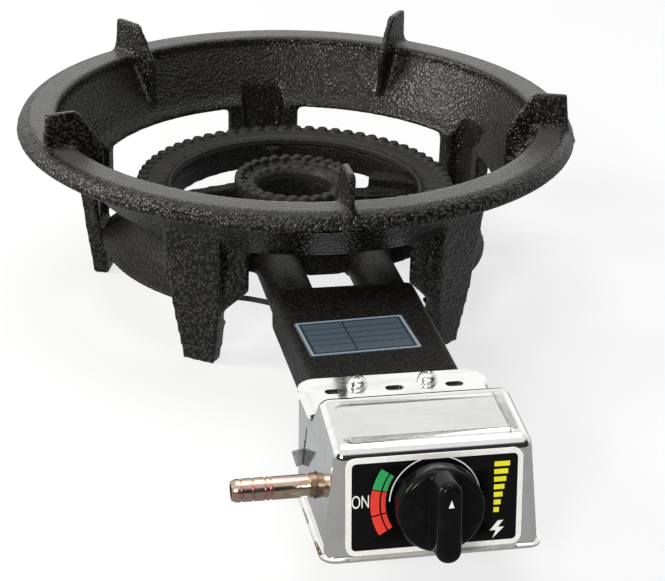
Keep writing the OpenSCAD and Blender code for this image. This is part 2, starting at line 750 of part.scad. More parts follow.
module base_screw_places() {
    for (s = [-1, 1], y = [330, 297]) translate([s * (box_low_w / 2 - gusset / 2 - 2), -y, 0]) children();
}

module control_box() {
    top_slope = atan((box_back_z - box_front_z) / (-face_inside(box_front_z - box_edge_r, box_edge_r) - box_back - box_edge_r));
    color("gainsboro") difference() {
        union() {
            difference() {
                union() {
                    box_form(box_edge_r);
                    box_tail(0, 0);
                    translate([0, -(flange_back + box_back) / 2 - 1, flange_z]) linear_extrude(sheet_t)
                        polygon(round_rect(2 * flange_w_half, box_back - flange_back + 2, flange_r));
                    // Raised panel of the top
                    translate([0, (face_inside(box_front_z - box_edge_r, box_edge_r) - box_back - box_edge_r) / 2,
                        (box_back_z + box_front_z) / 2 - box_edge_r + box_edge_r / cos(top_slope)])
                        rotate([top_slope, 0, 0]) translate([0, 0, -0.5]) linear_extrude(1.1)
                        polygon(round_rect(box_top_w - 22, 22, 4));
                    // Flared lip
                    translate([-box_low_w / 2 - lip_w, face_inside(box_low_z, 0) - lip_w, box_low_z])
                        cube([box_low_w + 2 * lip_w, -face_inside(box_low_z, 0) + lip_w - side_back_low, sheet_t]);
                }
                box_form(box_edge_r - sheet_t);
                box_tail(sheet_t, 8);
                translate([-100, -400, box_low_z - 20]) cube([200, 200, 20]);
            }
            box_tabs();
        }
        // Spindle hole, inlet hole and the shutter lever's slot
        valve_frame() translate([0, 0, -4]) cylinder(r = hole_r, h = 8);
        valve_frame() translate([-60, inlet_up, gas_z]) rotate([0, 90, 0]) cylinder(r = inlet_r + 1.4, h = 25);
        translate([-slot_out, -neck_front - lever_bend_y - 2.2, tube_z - 11.5])
            cube([slot_out - slot_in, 3.2, 19]);
        // Screw holes, and the oval holes between them
        for (s = [-1, 1]) translate([s * screw_x, -screw_y, flange_z - 1]) cylinder(r = box_screw_r + 0.3, h = 4);
        for (s = [-1, 0, 1]) translate([s * 29, -screw_y - 5, flange_z - 1]) {
            translate([-2, 0, 0]) cylinder(r = 2.4, h = 4);
            translate([2, 0, 0]) cylinder(r = 2.4, h = 4);
            translate([-2, -2.4, 0]) cube([4, 4.8, 4]);
        }
        base_screw_places() translate([0, 0, box_low_z]) cylinder(r = base_screw_r + fix_gap, h = 4, $fn = 24);
    }
}

module box_base_plate() {
    color("silver") difference() {
        translate([-base_w_half, -base_front, box_low_z])
            cube([2 * base_w_half, base_front - side_back_low - 2, base_t]);
        base_screw_places() translate([0, 0, box_low_z - 1]) cylinder(r = base_screw_r + fix_gap, h = 4, $fn = 24);
    }
}

module base_plate_screws() {
    color("silver") base_screw_places() {
        translate([0, 0, box_low_z - base_screw_head_h]) cylinder(r = base_screw_head_r, h = base_screw_head_h, $fn = 24);
        translate([0, 0, box_low_z]) cylinder(r = base_screw_r, h = base_t + sheet_t + 1.5, $fn = 24);
    }
}

module faceplate() {
    color("#151515") valve_frame() difference() {
        translate([0, -1, 0]) linear_extrude(plate_t) polygon(round_rect(plate_w, plate_h, 4.5));
        translate([0, 0, -1]) cylinder(r = hole_r, h = plate_t + 2);
    }
}

module rating_plate() {
    color("slategray") translate([-5.5, 1.5 - (neck_back + neck_front) / 2, neck_top]) rotate([0, 0, 3])
        linear_extrude(rating_t) polygon(round_rect(rating_w, rating_d, 1.5));
}

module box_screws() {
    z = flange_z + sheet_t + washer_t;
    color("silver") for (s = [-1, 1]) translate([s * screw_x, -screw_y, 0]) difference() {
        union() {
            translate([0, 0, z]) cylinder(r = box_screw_head_r, h = box_screw_head_h, $fn = 32);
            translate([0, 0, neck_top - box_screw_bite]) cylinder(r = box_screw_r, h = z - neck_top + box_screw_bite);
        }
        for (a = [0, 90]) translate([0, 0, z + box_screw_head_h - 0.8]) rotate([0, 0, a])
            cube([5, 1.1, 2], center = true);
    }
}

module box_washers() {
    color("silver") for (s = [-1, 1]) translate([s * screw_x, -screw_y, flange_z + sheet_t]) difference() {
        cylinder(r = washer_r, h = washer_t);
        translate([0, 0, -1]) cylinder(r = box_screw_r + 0.15, h = washer_t + 2);
    }
}

// The spindle's round, flattened at the knob's end
module spindle_round(r, z0, z1) {
    difference() {
        translate([0, 0, z0]) cylinder(r = r, h = z1 - z0);
        translate([-10, r - flat_cut, knob_back + 1]) cube([20, 10, 30]);
    }
}

module knob() {
    n = grip_nose_r;
    color("#0c0c0c") valve_frame() difference() {
        union() {
            rotate_extrude() polygon(concat(
                [[0, knob_back], [knob_r - 1, knob_back], [knob_r, knob_back + 1]],
                arc([knob_r - 3.4, knob_back + knob_disc_t - 3], 3, 0, 90, 6),
                [[0, knob_back + knob_disc_t + 0.6]]));
            translate([0, 0, knob_back - 3.1]) cylinder(r = spring_pocket_r + 0.9, h = 4);
            hull() for (s = [-1, 1]) {
                translate([0, s * (knob_r - n), knob_front - n]) sphere(n, $fn = 32);
                translate([0, s * (knob_r - grip_w / 2 - 0.4), knob_back + 4]) cylinder(r = grip_w / 2, h = 6, $fn = 32);
            }
        }
        translate([0, 0, knob_back - 4]) cylinder(r = spring_pocket_r, h = 4 + spring_top - knob_back);
        spindle_round(spindle_r + fix_gap, knob_back, spindle_out + 0.3);
    }
}

module valve_spindle() {
    color("silver") valve_frame() difference() {
        spindle_round(spindle_r, spindle_in, spindle_out);
        translate([-10, 0, pin_z]) rotate([0, 90, 0]) cylinder(r = pin_r + fix_gap, h = 20, $fn = 32);
    }
}

module spindle_pin() {
    color("silver") valve_frame() translate([-neck_tube_r + 0.2, 0, pin_z]) rotate([0, 90, 0])
        cylinder(r = pin_r, h = 2 * neck_tube_r - 0.4, $fn = 32);
}

module spindle_spring() {
    z0 = neck_tube_end + spring_wire / 2 + 0.05;
    z1 = spring_top - spring_wire / 2 - 0.05;
    echo("least gap of the spindle spring", coil_gap(z0, z1, spring_turns, spring_wire));
    color("gray") valve_frame() sweep(coil(spring_r, z0, z1, spring_turns, coil_steps), spring_wire / 2, 6, [0, 0, 1]);
}

module valve_plug() {
    color("goldenrod") valve_frame() difference() {
        union() {
            translate([0, 0, plug_end]) cylinder(r = plug_r - run_gap, h = valve_front - plug_face_gap - plug_end);
            translate([0, 0, valve_front - 1]) cylinder(r = neck_tube_r, h = neck_tube_end - valve_front + 1);
        }
        translate([0, 0, spindle_in - push_travel - 0.5]) cylinder(r = spindle_r + run_gap, h = 40);
        translate([-6, -pin_r - 0.05, pin_z - push_travel - pin_r - 0.4])
            cube([12, 2 * pin_r + 0.1, push_travel + 2 * pin_r + 0.7]);
        translate([0, 0, plug_end - 1]) cylinder(r = passage_r, h = gas_z - plug_end + 3.5);
        translate([0, 0, gas_z]) rotate([-90, 0, 0]) cylinder(r = 2.2, h = 10);
    }
}

// Radius of the cam at an angle after its low point
function cam_at(a) = cam_r + cam_lift * (a <= valve_turn ? a / valve_turn
    : a <= valve_turn + 10 ? 1 : a <= 260 ? (260 - a) / (250 - valve_turn) : 0);

module striker_cam() {
    color("whitesmoke") valve_frame() translate([0, 0, cam_back]) linear_extrude(neck_tube_end - cam_back) difference() {
        polygon([for (a = [0:4:356]) cam_at(a) * [cos(a), -sin(a)]]);
        circle(r = neck_tube_r + cam_hub_gap);
    }
}

module cover_screw_places() {
    for (x = [-1, 1], y = [-1, 1]) translate([x * cover_screw_at, y * cover_screw_at, 0]) children();
}

module igniter_screw_places() {
    for (s = [-1, 1]) translate([igniter_x + igniter_l - 2.6, s * (igniter_h / 2 - 3), 0]) children();
}

module valve_body() {
    floor_z = plug_end - plug_face_gap;
    color("darkgoldenrod") valve_frame() difference() {
        union() {
            translate([-flange_half, -flange_half, valve_front - 4]) cube([2 * flange_half, 2 * flange_half, 4]);
            translate([0, 0, valve_back]) cylinder(r = valve_r, h = valve_front - valve_back);
            translate([0, 0, spigot_end]) cylinder(r = spigot_r, h = valve_back - spigot_end + 1);
            translate([-24, inlet_up, gas_z]) rotate([0, 90, 0]) cylinder(r = 8.5, h = 24);
        }
        translate([0, 0, floor_z]) cylinder(r = plug_r, h = 40);
        translate([0, 0, spigot_end - 1]) cylinder(r = passage_r, h = floor_z - spigot_end + 2);
        translate([-25, inlet_up, gas_z]) rotate([0, 90, 0]) cylinder(r = inlet_r - 0.25, h = 12);
        translate([-14, inlet_up, gas_z]) rotate([0, 90, 0]) cylinder(r = 3, h = 9);
        cover_screw_places() translate([0, 0, valve_front - 6]) cylinder(r = cover_screw_r + fix_gap, h = 8, $fn = 24);
    }
}

module valve_cover() {
    color("silver") valve_frame() difference() {
        translate([-flange_half, -flange_half, valve_front])
            cube([flange_half + igniter_x + igniter_l, 2 * flange_half, cover_t]);
        translate([0, 0, valve_front - 1]) cylinder(r = neck_tube_r + run_gap, h = cover_t + 2);
        cover_screw_places() translate([0, 0, valve_front - 1]) cylinder(r = cover_screw_r + fix_gap, h = 5, $fn = 24);
        igniter_screw_places() translate([0, 0, valve_front - 1]) cylinder(r = 1.25, h = 5, $fn = 24);
    }
}

module valve_cover_screws() {
    color("silver") valve_frame() cover_screw_places() {
        translate([0, 0, valve_front - 5]) cylinder(r = cover_screw_r, h = cover_t + 5, $fn = 24);
        translate([0, 0, cover_front]) cylinder(r = 2.8, h = 2.2, $fn = 24);
    }
}

module gas_inlet_pipe() {
    collar_end = 50;
    color("tan") valve_frame() translate([0, inlet_up, gas_z]) rotate([0, -90, 0]) difference() {
        union() {
            translate([0, 0, 13.5]) cylinder(r = inlet_r - 0.25 - fix_gap, h = 12);
            translate([0, 0, 25]) cylinder(r = 9.5, h = 6, $fn = 6);
            translate([0, 0, 30]) cylinder(r = inlet_r + 0.35, h = collar_end - 30);
            translate([0, 0, collar_end - 1]) cylinder(r = inlet_r, h = inlet_reach - 1.5 - collar_end);
            translate([0, 0, inlet_reach - 2.5]) cylinder(r1 = inlet_r, r2 = inlet_r - 0.9, h = 2.5);
        }
        translate([0, 0, 10]) cylinder(r = inlet_r - 2, h = inlet_reach);
        for (d = [5.5, 9, 14]) translate([0, 0, inlet_reach - d]) difference() {
            cylinder(r = inlet_r + 1, h = 1);
            translate([0, 0, -1]) cylinder(r = inlet_r - 0.3, h = 3);
        }
    }
}

module inlet_gasket() {
    color("#202020") valve_frame() translate([0, inlet_up, gas_z]) rotate([0, -90, 0]) translate([0, 0, 24]) difference() {
        cylinder(r = 8.3, h = 1);
        translate([0, 0, -1]) cylinder(r = inlet_r - 0.2, h = 3);
    }
}

module gas_manifold() {
    color("darkgoldenrod") difference() {
        union() {
            translate([-manifold_half, -manifold_front, manifold_low])
                cube([2 * manifold_half, manifold_front - manifold_back, manifold_top - manifold_low]);
            valve_frame() translate([0, 0, valve_back - 11]) cylinder(r = boss_r, h = 11);
        }
        valve_frame() translate([0, 0, spigot_end - 0.3]) cylinder(r = spigot_r + fix_gap, h = 20);
        valve_frame() translate([0, 0, spigot_end - 7]) cylinder(r = passage_r, h = 12);
        translate([-tube_x - 4, -(manifold_front + manifold_back) / 2, tube_z - 4]) rotate([0, 90, 0])
            cylinder(r = 3, h = 2 * tube_x + 8);
        for (s = [-1, 1]) {
            mouth_frame(s) translate([0, 0, -11 - injector_thread_l - 0.5])
                cylinder(r = injector_thread_r + fix_gap, h = injector_thread_l + 2);
            translate([s * bolt_x, -manifold_front - 1, bolt_z]) rotate([-90, 0, 0])
                cylinder(r = bolt_r + fix_gap, h = 20, $fn = 32);
        }
    }
}

module manifold_bolts() {
    color("silver") for (s = [-1, 1]) translate([s * bolt_x, -manifold_front, bolt_z]) rotate([-90, 0, 0]) {
        translate([0, 0, -bolt_head_h]) cylinder(r = bolt_head_r, h = bolt_head_h, $fn = 6);
        cylinder(r = bolt_r, h = manifold_front - manifold_back + bolt_bite, $fn = 32);
    }
}

module injector() {
    shoulder = -shutter_gap - shutter_t - 0.3;
    hex = -neck_front + manifold_back;
    color("gold") difference() {
        union() {
            translate([0, 0, -hex - injector_thread_l]) cylinder(r = injector_thread_r, h = injector_thread_l + 1);
            translate([0, 0, -hex]) cylinder(r = hex_r, h = hex + shoulder, $fn = 6);
            translate([0, 0, shoulder - 1]) cylinder(r = collar_r, h = mouth_wall_t - shoulder + 1);
            translate([0, 0, mouth_wall_t]) cylinder(r1 = 3.2, r2 = 1.6, h = 7);
        }
        translate([0, 0, -hex - injector_thread_l - 1]) cylinder(r = 2, h = hex + injector_thread_l);
        translate([0, 0, -2]) cylinder(r = 0.7, h = 20, $fn = 24);
    }
}

module injector_left() {
    mouth_frame(-1) injector();
}

module injector_right() {
    mouth_frame(1) injector();
}

// A rotating shutter for a mouth, with its lever along +X, reaching past the wall when long is true
module shutter(long) {
    color("silver") translate([0, 0, -shutter_gap - shutter_t]) {
        difference() {
            union() {
                cylinder(r = shutter_r, h = shutter_t);
                translate([shutter_r - 2, -lever_w / 2, 0]) cube([lever_bend_x - shutter_r + 2, lever_w, shutter_t]);
                if (long) {
                    translate([lever_bend_x - shutter_t, -lever_w / 2, -lever_bend_y])
                        cube([shutter_t, lever_w, lever_bend_y + shutter_t]);
                    translate([lever_bend_x - shutter_t, -lever_w / 2, -lever_bend_y])
                        cube([lever_reach - lever_bend_x + shutter_t, lever_w, shutter_t]);
                } else {
                    translate([lever_bend_x - shutter_t, -lever_w / 2, -4]) cube([shutter_t, lever_w, 4 + shutter_t]);
                }
            }
            translate([0, 0, -1]) cylinder(r = collar_r + run_gap, h = shutter_t + 2);
        }
    }
}

module air_shutter(side) {
    mouth_frame(side) difference() {
        rotate([0, 0, side < 0 ? -lever_a : lever_a + 180]) shutter(side < 0);
        translate([0, 0, -shutter_gap - shutter_t - 0.5]) shutter_windows(shutter_t + 1);
    }
}

module air_shutter_left() {
    air_shutter(-1);
}

module air_shutter_right() {
    air_shutter(1);
}

module igniter_case() {
    color("ivory") valve_frame() difference() {
        translate([igniter_x, -igniter_h / 2, cover_front])
            cube([igniter_l, igniter_h, igniter_front - 0.8 - cover_front]);
        translate([igniter_x - 1, 0, plunger_z]) rotate([0, 90, 0]) cylinder(r = plunger_r, h = plunger_bore_end - igniter_x + 1);
        igniter_screw_places() translate([0, 0, cover_front - 1]) cylinder(r = 1.25, h = 12, $fn = 24);
    }
}

module igniter_screws() {
    color("silver") valve_frame() igniter_screw_places() {
        translate([0, 0, valve_front]) cylinder(r = 1.2, h = igniter_front - 0.8 - valve_front, $fn = 24);
        translate([0, 0, igniter_front - 0.8]) cylinder(r = 2.2, h = 1.3, $fn = 24);
    }
}

module igniter_plunger() {
    tip = cam_r + plunger_tip_gap;
    color("silver") valve_frame() {
        translate([tip + 2.8, 0, plunger_z]) rotate([0, 90, 0]) cylinder(r = plunger_r - run_gap, h = plunger_end - tip - 2.8);
        translate([tip, -1, plunger_z - 1.25]) cube([4, 2, 2.5]);
    }
}

module hammer_spring() {
    z0 = plunger_end + 0.35;
    z1 = plunger_bore_end - 0.35;
    echo("least gap of the hammer spring", coil_gap(z0, z1, 6, 0.6));
    color("gray") valve_frame() translate([0, 0, plunger_z]) rotate([0, 90, 0])
        sweep(coil(1.7, z0, z1, 6, coil_steps), 0.3, 6, [0, 0, 1]);
}

module ignition_lead() {
    color("#8c2f28") sweep(smooth(lead_route, 4), lead_d / 2, 8, [1, 0.15, 0.35]);
}

module lead_clips() {
    places = [neck_back + 16, (neck_back + neck_front) / 2 - 6, neck_front - 28];
    color("silver") for (y = places) translate([-tube_x, -y, 0]) difference() {
        translate([-6, -2.5, lead_low - lead_d / 2 - 0.8]) cube([12, 5, neck_low - lead_low + lead_d / 2 + 0.8]);
        translate([0, -4, lead_low]) rotate([-90, 0, 0]) cylinder(r = lead_d / 2 + 0.15, h = 8, $fn = 32);
    }
}

module electrode_sleeve() {
    color("white") around(electrode_a) translate([electrode_at, 0, 0]) difference() {
        union() {
            translate([0, 0, sleeve_low]) cylinder(r = ceramic_r, h = sleeve_top - sleeve_low);
            translate([0, 0, trough_z]) cylinder(r = sleeve_flange_r, h = 2.5);
        }
        translate([0, 0, sleeve_low + 1]) cylinder(r = electrode_r + fix_gap, h = 30, $fn = 32);
    }
}

module electrode_rod() {
    color("silver") around(electrode_a) {
        translate([electrode_at, 0, sleeve_low + 1.5])
            cylinder(r = electrode_r, h = electrode_tip_z - sleeve_low - 1.5, $fn = 32);
        translate([outer_ring_r + 1.8, 0, electrode_tip_z - electrode_r]) rotate([0, 90, 0])
            cylinder(r = electrode_r, h = electrode_at - outer_ring_r - 1.8, $fn = 32);
    }
}

module electrode_bracket() {
    color("silver") around(electrode_a) difference() {
        translate([bracket_in_r, -bracket_w / 2, trough_z - bracket_t])
            cube([electrode_at + 5.2 - bracket_in_r, bracket_w, bracket_t]);
        translate([electrode_at, 0, trough_z - 3]) cylinder(r = ceramic_r + fix_gap, h = 6);
        translate([bracket_screw_r, 0, trough_z - 3]) cylinder(r = cover_screw_r + fix_gap, h = 6, $fn = 24);
    }
}

module electrode_screw() {
    color("silver") around(electrode_a) translate([bracket_screw_r, 0, 0]) {
        translate([0, 0, trough_z - bracket_t - 2]) cylinder(r = 2.8, h = 2, $fn = 24);
        translate([0, 0, trough_z - bracket_t]) cylinder(r = cover_screw_r, h = bracket_t + cast_t - 1, $fn = 24);
    }
}

place() pan_support();
place() burner_body();
place() outer_flame_ring();
place() inner_flame_ring();
place() control_box();
place() box_base_plate();
place() base_plate_screws();
place() faceplate();
place() rating_plate();
place() box_screws();
place() box_washers();
place() knob();
place() valve_spindle();
place() spindle_pin();
place() spindle_spring();
place() valve_plug();
place() striker_cam();
place() valve_body();
place() valve_cover();
place() valve_cover_screws();
place() gas_inlet_pipe();
place() inlet_gasket();
place() gas_manifold();
place() manifold_bolts();
place() injector_left();
place() injector_right();
place() air_shutter_left();
place() air_shutter_right();
place() igniter_case();
place() igniter_screws();
place() igniter_plunger();
place() hammer_spring();
place() ignition_lead();
place() lead_clips();
place() electrode_rod();
place() electrode_sleeve();
place() electrode_bracket();
place() electrode_screw();
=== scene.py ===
"""Outdoor gas cooker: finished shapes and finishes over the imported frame.

The castings are softened copies of the frame's solids under a pebbled enamel. The sheet metal,
the knob, the faceplate and the small fittings are modelled here, in millimetres, and stand for
their nodes. The other nodes keep their solids and only get a finish.
"""

import math

import bmesh
import bpy
from bmesh.types import BMEdge, BMFace, BMVert
from bpy.props import FloatProperty, FloatVectorProperty, IntProperty, PointerProperty
from bpy.types import NodeSocket, Operator, Panel, PropertyGroup
from mathutils import Matrix, Vector


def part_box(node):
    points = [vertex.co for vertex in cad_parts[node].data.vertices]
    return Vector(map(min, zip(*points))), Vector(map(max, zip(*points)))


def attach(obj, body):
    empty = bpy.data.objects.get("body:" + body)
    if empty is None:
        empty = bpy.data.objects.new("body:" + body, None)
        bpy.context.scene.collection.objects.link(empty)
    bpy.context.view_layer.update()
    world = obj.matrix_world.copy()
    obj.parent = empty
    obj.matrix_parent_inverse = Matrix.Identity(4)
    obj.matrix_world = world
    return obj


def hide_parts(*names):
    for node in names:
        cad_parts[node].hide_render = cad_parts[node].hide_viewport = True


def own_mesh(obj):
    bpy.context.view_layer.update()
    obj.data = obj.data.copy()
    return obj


bl_info = {
    "name": "Outdoor gas cooker",
    "version": (1, 0, 0),
    "blender": (4, 5, 0),
    "location": "View3D > Sidebar > Cooker",
    "description": "Finished shapes and materials of a cast iron gas cooker",
    "category": "Object",
}

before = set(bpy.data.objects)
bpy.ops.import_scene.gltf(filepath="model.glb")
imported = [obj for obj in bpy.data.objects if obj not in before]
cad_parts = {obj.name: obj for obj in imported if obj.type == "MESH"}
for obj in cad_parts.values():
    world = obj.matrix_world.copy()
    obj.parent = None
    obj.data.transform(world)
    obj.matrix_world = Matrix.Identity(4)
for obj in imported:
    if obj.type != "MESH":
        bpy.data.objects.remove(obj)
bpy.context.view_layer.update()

MM = 0.001

# Where the rings' axis stands along Y, in metres
RING_Y = (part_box("outer_flame_ring")[0][1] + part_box("outer_flame_ring")[1][1]) / 2

# Where the knob's axis leaves the front face: before the rings' axis, and above the floor
FACE_Y = 343.7
FACE_Z = 51.9
FACE_TILT = 8
# Where the inlet pipe's axis runs: below the knob's axis, and behind the front face
PIPE_DOWN = 2
PIPE_BACK = 30.5
# Radius of the hole for the knob's collar
COLLAR_HOLE = 7.2
# The box's lower edge, its rear flange, and the two screws through that with their washers
LOW_Z = 28.2
FLANGE_Z = 64.7
WASHER_T = 1.0
SCREW_X = 17
SCREW_Y = -258
# Width, height, corner radius and thickness of the two plates, and the level of their print
FACEPLATE = (79, 45.5, 4.5, 0.8)
FACEPLATE_INK_Z = 0.83
RATING = (56.5, 37.5, 1.5, 0.5)
RATING_INK_Z = 0.52


def at(x, y, z):
    """A move."""
    return Matrix.Translation((x, y, z))


def spun(degrees, axis):
    """A turn round one of the axes."""
    return Matrix.Rotation(math.radians(degrees), 4, axis)


# Drawings are in millimetres. RING puts them round the rings' axis, with the floor at nought.
# FACE puts them on the front face, with +Z out of it and +Y up it. PIPE has +Z along the pipe.
RING = at(0, RING_Y, 0) @ Matrix.Scale(MM, 4)
FACE = RING @ at(0, -FACE_Y, FACE_Z) @ spun(90 - FACE_TILT, "X")
PIPE = FACE @ at(0, -PIPE_DOWN, -PIPE_BACK) @ spun(-90, "Y")

# The photograph's camera: picture width and focal length in pixels, sensor in millimetres,
# place from the rings' axis in metres, line of sight, and roll in radians
PHOTO_WIDTH = 665
PHOTO_FOCAL = 1949.801
SENSOR = 36
EYE = Vector((-0.198305, -1.050763 + RING_Y, 0.490096))
SIGHT = Vector((0.18825, 0.88755, -0.42050))
ROLL = 0.032


class Net:
    """A node tree that is built up node by node."""

    def __init__(self, tree):
        self.tree = tree

    def node(self, kind, inputs=None, **settings):
        """Adds a node. A value in inputs is a number, a colour or the socket that feeds it."""
        made = self.tree.nodes.new(kind)
        for key, value in settings.items():
            setattr(made, key, value)
        for key, value in (inputs or {}).items():
            if isinstance(value, NodeSocket):
                self.tree.links.new(value, made.inputs[key])
            else:
                made.inputs[key].default_value = value
        return made

    def maths(self, operation, *values):
        """One step of arithmetic."""
        return self.node("ShaderNodeMath", dict(enumerate(values)), operation=operation).outputs[0]

    def sum(self, first, second, share=1.0):
        """first, plus a share of second."""
        return self.maths("MULTIPLY_ADD", second, share, first)

    def times(self, one, other):
        """One value times another."""
        return self.maths("MULTIPLY", one, other)

    def spread(self, source, low, high, to_low=0, to_high=1, curve="LINEAR"):
        """Maps a range of a value to another range, held at its ends."""
        inputs = {"Value": source, "From Min": low, "From Max": high}
        inputs |= {"To Min": to_low, "To Max": to_high}
        made = self.node("ShaderNodeMapRange", inputs, clamp=True, interpolation_type=curve)
        return made.outputs["Result"]

    def blend(self, factor, first, second):
        """A colour that goes from first to second as factor goes from nought to one."""
        first, second = (c if isinstance(c, NodeSocket) else (*c, 1) for c in (first, second))
        inputs = {0: factor, 6: first, 7: second}
        return self.node("ShaderNodeMix", inputs, data_type="RGBA").outputs[2]

    def mix(self, factor, first, second):
        """A surface or light that goes from first to second."""
        return self.node("ShaderNodeMixShader", {0: factor, 1: first, 2: second}).outputs[0]


class Finish(Net):
    """A material over one Principled shader."""

    def __init__(self, name, colour, roughness, metallic=0.0, sheen=0.5):
        self.material = bpy.data.materials.new(name)
        self.material.use_nodes = True
        super().__init__(self.material.node_tree)
        self.shader = self.tree.nodes["Principled BSDF"]
        self.shader.inputs["Base Color"].default_value = (*colour, 1)
        self.shader.inputs["Roughness"].default_value = roughness
        self.shader.inputs["Metallic"].default_value = metallic
        self.shader.inputs["Specular IOR Level"].default_value = sheen
        self.place = self.node("ShaderNodeTexCoord").outputs["Object"]

    def stretched(self, scale):
        """The object's coordinates, drawn out by a factor on each axis."""
        inputs = {"Vector": self.place, "Scale": scale}
        return self.node("ShaderNodeMapping", inputs).outputs["Vector"]

    def noise(self, size_mm, detail=3.0, rough=0.5, place=None):
        """Soft noise whose features are about size_mm across."""
        inputs = {"Vector": place or self.place, "Scale": 1000 / size_mm}
        inputs |= {"Detail": detail, "Roughness": rough}
        return self.node("ShaderNodeTexNoise", inputs).outputs["Fac"]

    def vector(self, operation, inputs, output=0):
        """One step of arithmetic on vectors."""
        return self.node("ShaderNodeVectorMath", inputs, operation=operation).outputs[output]

    def warped(self, size_mm, amount_mm):
        """The object's coordinates, pushed about so that cells lose their straight sides."""
        inputs = {"Vector": self.place, "Scale": 1000 / size_mm, "Detail": 1.0}
        drift = self.node("ShaderNodeTexNoise", inputs).outputs["Color"]
        centred = self.vector("SUBTRACT", {0: drift, 1: (0.5, 0.5, 0.5)})
        scaled = self.vector("SCALE", {0: centred, "Scale": amount_mm * MM})
        return self.vector("ADD", {0: self.place, 1: scaled})

    def cells(self, size_mm, place):
        """Distance to the middle of the nearest cell, from nought to about one."""
        inputs = {"Vector": place, "Scale": 1000 / size_mm, "Smoothness": 0.6}
        made = self.node("ShaderNodeTexVoronoi", inputs, feature="SMOOTH_F1")
        return made.outputs["Distance"]

    def feed(self, socket, source):
        """Feeds one of the shader's sockets."""
        self.tree.links.new(source, self.shader.inputs[socket])

    def colour(self, source, low, high, first, second):
        """Feeds a colour that goes from first to second over a range of source."""
        self.feed("Base Color", self.blend(self.spread(source, low, high), first, second))

    def bump(self, height, depth_mm):
        """Relief of depth_mm for a height that goes from nought to one."""
        inputs = {"Height": height, "Distance": depth_mm * MM}
        self.feed("Normal", self.node("ShaderNodeBump", inputs).outputs["Normal"])


def tint(colour, factor):
    """A colour, lighter or darker by a factor."""
    return [c * factor for c in colour]


def pebbled_enamel(
    name, colour, pebble_mm=1.3, relief=0.12, gloss=(0.34, 0.5), top=0.0, peak=3.2, sheen=0.1
):
    """Black enamel over rough iron: soft pebbles, finer grit between them, and duller hollows.

    Where top is given, faces that look up and not outwards get painted light: they are greyer,
    towards a pale grey set by top as if lit from above, and flatter. The walls that face the rings'
    axis get painted shade: they are darker and smoother.
    """
    mat = Finish(name, colour, 0.4, sheen=sheen)
    pebbles = mat.spread(mat.cells(pebble_mm, mat.warped(3.0, 1.8)), 0.1, 0.72, 1, 0)
    grit = mat.noise(0.8, 2.0)
    patches = mat.noise(28, 3.0)
    # Paler pebble tops, up to peak times the colour: partly grey speckle, partly painted glints
    shade = mat.spread(mat.sum(pebbles, grit, 0.6), 0.62, 1.3)
    skin = mat.blend(shade, tint(colour, 0.3), tint(colour, peak))
    height = mat.sum(pebbles, grit, 0.25)
    if top:
        normal = mat.node("ShaderNodeNewGeometry").outputs["Normal"]
        inputs = {"Vector": mat.place, "Location": (0, -RING_Y, 0), "Scale": (1, 1, 0)}
        level = mat.node("ShaderNodeMapping", inputs).outputs[0]
        radial = mat.vector("NORMALIZE", {0: level})
        out = mat.vector("DOT_PRODUCT", {0: normal, 1: radial}, "Value")
        up = mat.node("ShaderNodeSeparateXYZ", {0: normal}).outputs["Z"]
        # Painted light: up-facing flats are paled towards the grey set by top, as if lit from above
        flat = mat.times(mat.spread(up, 0.90, 0.97), mat.spread(out, 0.0, 0.16, 1, 0))
        # Painted shade: walls that face the rings' axis lose much of their pale speckle and turn
        # darker
        inside = mat.spread(out, -0.5, -0.25, 1, 0)
        skin = mat.blend(mat.spread(inside, 0, 1, 0, 0.6), skin, tint(colour, 1.1))
        pale = mat.blend(grit, [top * 0.6] * 3, [top * 1.3, top * 1.25, top * 1.17])
        skin = mat.blend(flat, skin, pale)
        height = mat.times(height, mat.spread(flat, 0, 1, 1, 0.3))
        height = mat.times(height, mat.spread(inside, 0, 1, 1, 0.6))
    mat.feed("Base Color", skin)
    dull = mat.spread(pebbles, 0, 1, gloss[1], gloss[0])
    mat.feed("Roughness", mat.sum(dull, mat.spread(patches, 0.3, 0.7, -0.04, 0.06)))
    mat.bump(height, relief)
    return mat.material


def sooty_iron(name, colours):
    """Darker, duller iron near the flames, with a fine sandy grain and a breath of rust."""
    mat = Finish(name, colours.iron, 0.5, sheen=0.22)
    grain = mat.noise(1.1, 3.0, 0.6)
    pits = mat.spread(mat.cells(2.4, mat.warped(4.0, 2.0)), 0.15, 0.7, 1, 0)
    rust = mat.spread(mat.noise(16, 5.0, 0.6), 0.56, 0.74, 0, 0.5)
    dark, light = tint(colours.iron, 0.45), tint(colours.iron, 1.7)
    shade = mat.blend(mat.spread(grain, 0.3, 0.7), dark, light)
    mat.feed("Base Color", mat.blend(rust, shade, colours.rust))
    mat.feed("Roughness", mat.spread(grain, 0.3, 0.7, 0.38, 0.58))
    mat.bump(mat.sum(pits, grain, 0.7), 0.22)
    return mat.material


def mirror_plate(name, colour):
    """Chromed sheet: bright, a little wavy from the press, with faint wiping marks."""
    mat = Finish(name, colour, 0.08, metallic=1.0)
    wipes = mat.noise(9, 4.0, 0.6, mat.stretched((0.35, 1.0, 1.0)))
    specks = mat.spread(mat.noise(1.6, 2.0), 0.66, 0.74)
    dull = mat.spread(wipes, 0.35, 0.75, 0.045, 0.16)
    mat.feed("Roughness", mat.sum(dull, specks, 0.12))
    mat.colour(wipes, 0.45, 0.8, colour, tint(colour, 0.86))
    mat.bump(mat.noise(26, 1.0), 0.14)
    return mat.material


def brushed_metal(name, colour, roughness, grain=(1.0, 1.0, 6.0), worn=0.8):
    """Machined or drawn metal with a fine directional grain."""
    mat = Finish(name, colour, roughness, metallic=1.0)
    lines = mat.noise(0.8, 3.0, 0.6, mat.stretched(grain))
    cloud = mat.noise(6, 3.0)
    dull = mat.spread(lines, 0.3, 0.7, roughness * 0.7, roughness * 1.3)
    mat.feed("Roughness", mat.sum(dull, cloud, 0.06))
    mat.colour(cloud, 0.35, 0.7, colour, tint(colour, worn))
    mat.bump(lines, 0.012)
    return mat.material


